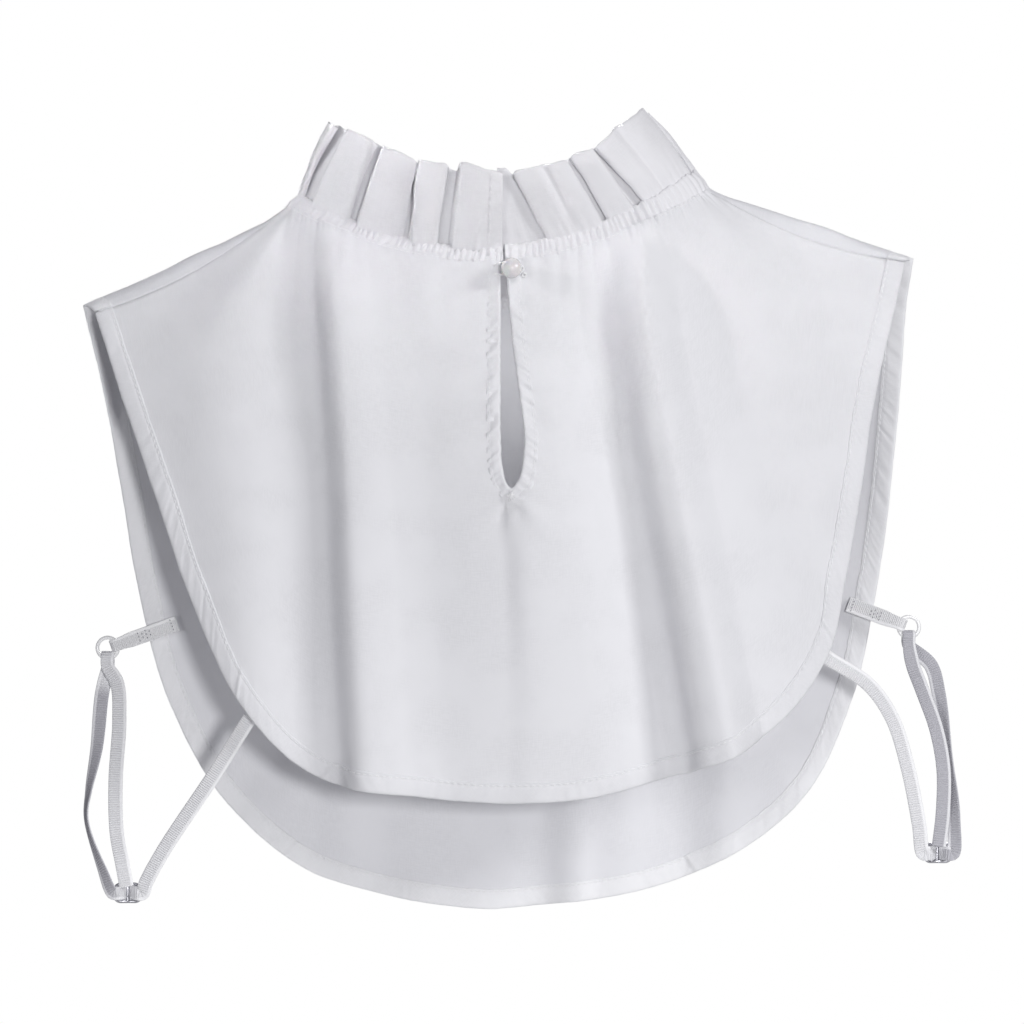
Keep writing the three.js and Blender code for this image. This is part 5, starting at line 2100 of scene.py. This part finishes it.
@dataclass
class StrapSet:
    """One side's tab, ring, elastic strap and slider."""

    side: str
    ring: Triple
    tab_root: Pair
    slider: Triple
    sewn: Pair
    down: Sequence[Triple]
    up: Sequence[Triple]
    back: Sequence[Triple]
    end: Triple
    twist: Triple
    finishes: Finishes
    width: float = 6.1
    thickness: float = 0.9
    tab_width: float = 6.6
    gathered: float = 5.5
    gather_reach: float = 6.5
    neck: float = 3.0
    ring_radius: float = 4.45
    wire: float = 0.8
    gap: float = 0.3
    ease: float = 0.2
    pitch: float = 0.45
    under_panel: float = 2.0
    tab_layer: float = 0.7
    tab_stitch: float = 0.76
    bar: float = 1.3
    slot: float = 3.7
    slot_deep: float = 0.7
    slider_size: Pair = (12.4, 8.8)
    slider_wire: Pair = (1.6, 1.3)
    slider_corner: float = 2.4

    def inner_face(self, panel: Panel, x: float, z: float, off: float, start: Pair) -> Array:
        """A point some way inside a panel."""
        share, down = panel.seen(np.array([x]), np.array([z]), start)
        return np.array([x, panel.at(share, down)[0, 1] - panel.out * off, z])

    def bend(self) -> float:
        """How far the ring's wire bends away over half the width of elastic gathered on it."""
        return self.ring_radius - math.sqrt(self.ring_radius**2 - (self.gathered / 2) ** 2)

    def turn(self) -> float:
        """How far from the middle of the ring's wire the middle of elastic lies that goes round it."""
        return self.wire + self.gap + self.thickness / 2 + self.ease

    def ribbon(self, route: Route, width: Callable[[Array], Array], twist: Triple | None = None) -> Web:
        """Sweep a flat strip along a curve, with its flat side turned by the curve's own plane.

        Args:
            route: The curve.
            width: Its width at points.
            twist: Middle and half length of a twist, as shares of the curve, and its degrees.

        Returns:
            The grid.
        """
        count = int(route.length / self.pitch)
        shares = np.linspace(0.0, 1.0, count)
        centres, runs = route.along(shares), route.turns(shares)
        sides, across = [], None
        for run in runs:
            turned = np.array([-run[2], 0.0, run[0]])
            size = float(np.linalg.norm(turned))
            if across is None or size > 0.35:
                turned = turned if across is None or turned @ across >= 0 else -turned
                across = turned / size
            sides.append(unit(across - run * (across @ run)))
        side = Ruffle.rounded(np.array(sides), 3.0)
        side = unit(side - runs * np.sum(side * runs, axis=1, keepdims=True))
        up = np.cross(runs, side)
        if twist:
            turn = np.radians(twist[2]) * bump(np.abs(shares - twist[0]) / twist[1])[:, None]
            side, up = side * np.cos(turn) + up * np.sin(turn), up * np.cos(turn) - side * np.sin(turn)
        outline = flat_outline(self.width, self.thickness, 7)
        return loop_web(centres, side, up, outline, width(centres) / self.width)

    def ring_piece(self) -> Piece:
        """Make the coated ring."""
        turn, around = np.linspace(0, 2 * np.pi, 97), np.linspace(0, 2 * np.pi, 24, endpoint=False)
        turn, around = np.meshgrid(turn, around, indexing="ij")
        reach = self.ring_radius + self.wire * np.cos(around)
        points = point3(reach * np.cos(turn), self.wire * np.sin(around), reach * np.sin(turn))
        grain = np.stack([turn * self.ring_radius, around * self.wire], axis=-1)
        web = Web(points + np.array(self.ring), grain, around=True)
        piece = make_piece(f"{self.side}_ring_coated", [web], self.finishes.coated, weld=True)
        return settle(piece, [f"ring_{self.side}"])

    def tab_pieces(self) -> list[Piece]:
        """Make the folded tab and its stitches."""
        ring = np.array(self.ring)
        near = (0.15 if ring[0] < 0 else 0.85, 0.9)
        root = self.inner_face(FRONT, *self.tab_root, self.under_panel + self.thickness, near)
        away = (root - ring) * (1, 0, 1)
        length = float(np.linalg.norm(away))
        away /= length
        layer, turn = self.tab_layer, self.turn()
        straight = self.ring_radius + self.neck
        held = self.ring_radius - self.bend()

        def place(out: float, back: float) -> Array:
            """A point some way out from the ring, and some way behind the tab's middle."""
            drift = (root[1] - ring[1]) * max(0.0, out - straight) / (length - straight)
            return ring + away * out + (0.0, back + drift, 0.0)

        def width(points: Array) -> Array:
            """Width of the tab at points."""
            off = np.linalg.norm((points - ring) * (1, 0, 1), axis=1) - self.ring_radius
            return mix(self.gathered, self.tab_width, smooth((off - self.wire) / self.gather_reach))

        half = (
            (length, layer), ((length + straight) / 2, layer), (straight + self.neck, layer),
            (straight, layer + self.ease), (held + self.wire, turn), (held - self.wire / 2, turn),
        )
        front, back = ([place(out, side * deep) for out, deep in half] for side in (1, -1))
        web = self.ribbon(Route([*front, place(held - turn, 0.0), *back[::-1]]), width)
        tab = make_piece(f"{self.side}_tab_folded", [web], self.finishes.tab_elastic)
        across = np.cross(away, (0.0, 1.0, 0.0))
        spots = [
            (0.28 + 0.07 * row, 1.6 * (k - 1) + 0.8 * (row % 2))
            for row in range(4) for k in range(2 + (row + 1) % 2)
        ]
        spots += [(0.9, aside) for aside in (-2.0, -0.6, 0.8, 2.2)]
        rows = []
        for face in (-1, 1):
            for out, aside in spots:
                middle = place(mix(straight, length, out), face * (layer + self.thickness / 2))
                middle = middle + across * aside
                half = across * self.tab_stitch / 2
                rows.append((middle - half, middle + half, np.array([0.0, face, 0.0])))
        # The tab's stitches take the grey thread, painted shade for their holes.
        stitches = (Stitching(thread=0.5), rows, self.finishes.shaded, "elastic")
        return [settle(tab, [f"tab_{self.side}"]), sew(f"{self.side}_tab_stitches", *stitches)]

    def route(self) -> Route:
        """The strap's whole curve, from inside the back to its end at the slider."""
        side = math.copysign(1.0, self.ring[0])
        slider, ring = np.array(self.slider), np.array(self.ring)
        near = (0.35 if side < 0 else 0.7, 0.85)
        start = self.inner_face(BACK, *self.sewn, self.under_panel + self.thickness / 2, near)
        past = self.slot_deep + self.gap + self.thickness / 2 + self.ease
        middle, end, half = self.bar / 2 + self.gap, self.bar / 2 + self.slot, self.slot / 2
        threaded = [
            slider + (side * x, y, 0.0)
            for x, y in (
                (-end - half, -past), (-end + self.gap, -past), (-middle, past),
                (middle, past), (end - self.gap, -past), (end + half, -past),
            )
        ]
        turn, bend = self.turn(), self.bend()
        low = ring - (0.0, 0.0, self.ring_radius)
        hairpin = [
            low + (0.0, y, z)
            for y, z in (
                (turn, -self.neck), (turn, bend + self.gap), (0.0, bend + turn),
                (-turn, bend + self.gap), (-turn, -self.neck),
            )
        ]
        return Route([start, *self.down, *threaded, *self.up, *hairpin, *self.back, self.end])

    def strap_piece(self) -> Piece:
        """Make the elastic strap."""
        low = np.array(self.ring) - (0.0, 0.0, self.ring_radius)

        def width(points: Array) -> Array:
            """Width of the strap at points."""
            off = np.linalg.norm(points - low, axis=1)
            return mix(self.gathered, self.width, smooth((off - self.neck) / self.gather_reach))

        route = self.route()
        web = self.ribbon(route, width, self.twist)
        piece = make_piece(f"{self.side}_strap_elastic", [web], self.finishes.elastic[self.side])
        LOG.info("%s strap: %.0f mm long", self.side, route.length)
        return settle(piece, [f"strap_{self.side}"])

    def slider_piece(self) -> Piece:
        """Make the slider: a bent wire frame with a bar across its middle."""
        wide, corner = self.slider_wire[0], self.slider_corner
        x, z = (size / 2 - wide / 2 for size in self.slider_size)
        frame = []
        for quarter in range(4):
            spin = np.radians(np.linspace(0, 90, 9) + 90 * quarter)
            cx = (x - corner) * (1 if quarter in (0, 3) else -1)
            cz = (z - corner) * (1 if quarter in (0, 1) else -1)
            frame.append(point3(cx + corner * np.cos(spin), 0.0, cz + corner * np.sin(spin)))
        frame = np.concatenate([*frame, frame[0][:1]])
        bar = point3(0.0, 0.0, np.array([z, 0.0, -z]))
        outline, webs = ring_outline(*self.slider_wire, 14), []
        for line, count in ((frame, 160), (bar, 30)):
            reached = lengths(line)
            place = np.linspace(0, reached[-1], count)
            path = np.stack([np.interp(place, reached, column) for column in line.T], axis=1)
            side = np.cross(unit(np.gradient(path, axis=0)), (0.0, 1.0, 0.0))
            path[:, 1] += 0.9 - 0.045 * path[:, 0] ** 2
            webs.append(loop_web(path + np.array(self.slider), side, (0.0, 1.0, 0.0), outline))
        piece = make_piece(f"{self.side}_slider_plated", webs, self.finishes.metal)
        return settle(piece, [f"slider_{self.side}"])

    def build(self) -> list[Piece]:
        """Make the whole set."""
        return [*self.tab_pieces(), self.ring_piece(), self.strap_piece(), self.slider_piece()]


STRAPS = (
    {
        "side": "left", "ring": (-168.9, 20, -188.9), "tab_root": (-139.5, -178.4),
        "slider": (-158.5, 0, -292.4), "sewn": (-99, -209),
        "down": ((-105.5, -25.5, -217.6), (-119.3, -20, -239.3), (-142.2, -8, -273.1),
                 (-150.4, -3.5, -287.6)),
        "up": ((-169.0, -1.2, -282.9), (-176.6, 6, -262), (-176.4, 14, -249.5), (-173.4, 17, -231.7),
               (-171.5, 20.5, -209.1)),
        "back": ((-164.6, 17, -204), (-163.3, 13, -220), (-164.4, 8, -244.9), (-163.4, 2, -266.6),
                 (-160.5, -3, -279.9)),
        "end": (-158.8, -2.4, -289.5), "twist": (0.46, 0.17, -70.0),
    },
    {
        "side": "right", "ring": (175.2, 19, -179.9), "tab_root": (149.5, -170.2),
        "slider": (185.7, 0, -275.4), "sewn": (130.5, -186),
        "down": ((136.8, -24.5, -191.3), (155.1, -16, -203.3), (165.6, -10.5, -218), (172.4, -7, -238.9),
                 (177.4, -4, -263)),
        "up": ((192.6, -1.6, -262), (192.6, 2, -251), (191.0, 9, -234), (187.6, 15, -208.0),
               (184.6, 19.8, -196.2)),
        "back": ((176.6, 15, -196), (180.1, 11.5, -206.2), (185.7, 7, -222.7), (188.4, 2.5, -239.5),
                 (187.8, -1.5, -257.5)),
        "end": (186.0, -2.4, -272.5), "twist": (0.5, 0.16, -62.0),
    },
)


# The picture


@dataclass
class Studio:
    """Camera, lights, background and floor."""

    lens: float = 148.9
    sensor: float = 36.0
    eye: Triple = (0.0048, -1.8, -0.1305)
    ambient: float = 0.115
    sky: Colour = (0.85, 0.85, 1.0)
    floor_level: float = -400.0
    LIGHTS = (
        ("front", (0.33, -1.85, -0.09), 0.18, 14.1),
        ("fill", (-0.9, -1.6, -0.2), 0.5, 4.3),
        ("side", (1.25, -0.9, 0.5), 0.35, 10.3),
        ("top", (0.0, -0.2, 1.3), 0.8, 2.5),
        ("accent", (-1.2, -0.55, 0.33), 0.1, 0.042, (-0.04, -0.03, 0.04), 12.0),
        ("glow", (0.004, -0.002, -0.07), 0.06, 0.012, (0.004, 0.04, -0.07)),
        ("rear", (0.6, 1.9, 0.5), 0.6, 27.0),
    )

    def build(self) -> None:
        """Set up the picture."""
        self.camera()
        self.world()
        for name, place, size, power, *aim in self.LIGHTS:
            self.light(name, place, size, power, *aim)
        self.floor()
        view = bpy.context.scene.view_settings
        view.view_transform = "Standard"
        view.look = "None"

    def camera(self) -> None:
        """Level camera straight behind the collar."""
        data = bpy.data.cameras.new("camera")
        data.lens, data.sensor_width = self.lens, self.sensor
        data.clip_start, data.clip_end = 0.05, 20.0
        camera = bpy.data.objects.new("camera", data)
        camera.location = self.eye
        camera.rotation_euler = (math.radians(90.0), 0.0, 0.0)
        bpy.context.scene.collection.objects.link(camera)
        bpy.context.scene.camera = camera

    def world(self) -> None:
        """White background for the camera, softer light on the cloth."""
        world = bpy.data.worlds.new("studio")
        graph = Graph(world)
        seen = graph.node("ShaderNodeBackground", {}, {"Color": (1.0, 1.0, 1.0)})
        light = graph.node("ShaderNodeBackground", {}, {"Color": self.sky, "Strength": self.ambient})
        by_camera = graph.node("ShaderNodeLightPath", {}, {}, "Is Camera Ray")
        blend = graph.node("ShaderNodeMixShader", {}, {0: by_camera, 1: light, 2: seen})
        graph.node("ShaderNodeOutputWorld", {}, {0: blend})
        bpy.context.scene.world = world

    def light(
        self, name: str, place: Triple, size: float, power: float,
        target: Triple = (0.0, 0.0, -0.13), spread: float = 180.0,
    ) -> None:
        """Add a square soft light.

        Args:
            name: Its name.
            place: Where it stands, in metres.
            size: Length of its side, in metres.
            power: Its power, in watts.
            target: What it faces.
            spread: Width of its beam, in degrees.
        """
        data = bpy.data.lights.new(name, "AREA")
        data.size, data.energy, data.spread = size, power, math.radians(spread)
        lamp = bpy.data.objects.new(name, data)
        lamp.location = place
        lamp.visible_camera = False
        lamp.rotation_euler = (Vector(target) - Vector(place)).to_track_quat("-Z", "Y").to_euler()
        bpy.context.scene.collection.objects.link(lamp)

    def floor(self) -> None:
        """Round pale floor, below the collar and out of the main picture."""
        turn = np.linspace(0.0, 2 * np.pi, 65)
        reach = np.array([0.01, 130.0, 260.0, 390.0])[:, None]
        points = point3(reach * np.cos(turn), reach * np.sin(turn), self.floor_level)
        floor = make_piece("floor", [Web(points, points[..., :2])], PaleFloor("pale_floor").make())


def flat_area(piece: Piece) -> float:
    """Area of a piece's own faces, in square metres."""
    return sum(face.area for face in piece.data.polygons)


def main() -> None:
    """Build the collar and its picture."""
    logging.basicConfig(level=logging.INFO, format="%(message)s")
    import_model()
    Studio().build()
    finishes = Finishes()
    back_wrinkles = Wrinkles(seed=11, hollows=BACK_HOLLOWS)
    front_wrinkles = Wrinkles(seed=47, hollows=FRONT_HOLLOWS, swell=1.0, dimple=0.5, dimple_size=15.0)
    back = BackCloth(finishes.poplin, back_wrinkles).build()
    front = FrontCloth(finishes.lining, front_wrinkles).build()
    back_tape = EdgeTape(
        "back_tape", BACK, back_wrinkles, finishes.tape, finishes.thread, "back_binding", 101,
        joins=((-110.0, -208.0, 0.1), (-73.0, -242.0, 0.9), (138.0, -186.0, -0.3)),
    ).build()
    # The front binding takes the paler tape: painted light.
    front_tape = EdgeTape(
        "front_tape", FRONT, front_wrinkles, finishes.inner_tape, finishes.thread, "front_binding", 131,
        over=True, joins=((-88.5, -275.0, 0.8), (80.0, -282.0, -0.6)),
    ).build()
    keyhole = KeyholeTape(finishes.tape, finishes.thread, back_wrinkles).build()
    band = NeckBand(finishes.stand, finishes.thread).build()
    ruffle, *trim = Ruffle(finishes.stand, finishes.thread).build()
    ButtonSet(finishes.pearl, finishes.thread).build()
    for strap in STRAPS:
        StrapSet(**strap, finishes=finishes).build()
    for piece in (back, front, ruffle):
        LOG.info("%s: %.4f square metres", piece.name, flat_area(piece))
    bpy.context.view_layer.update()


if __name__ == "__main__":
    main()
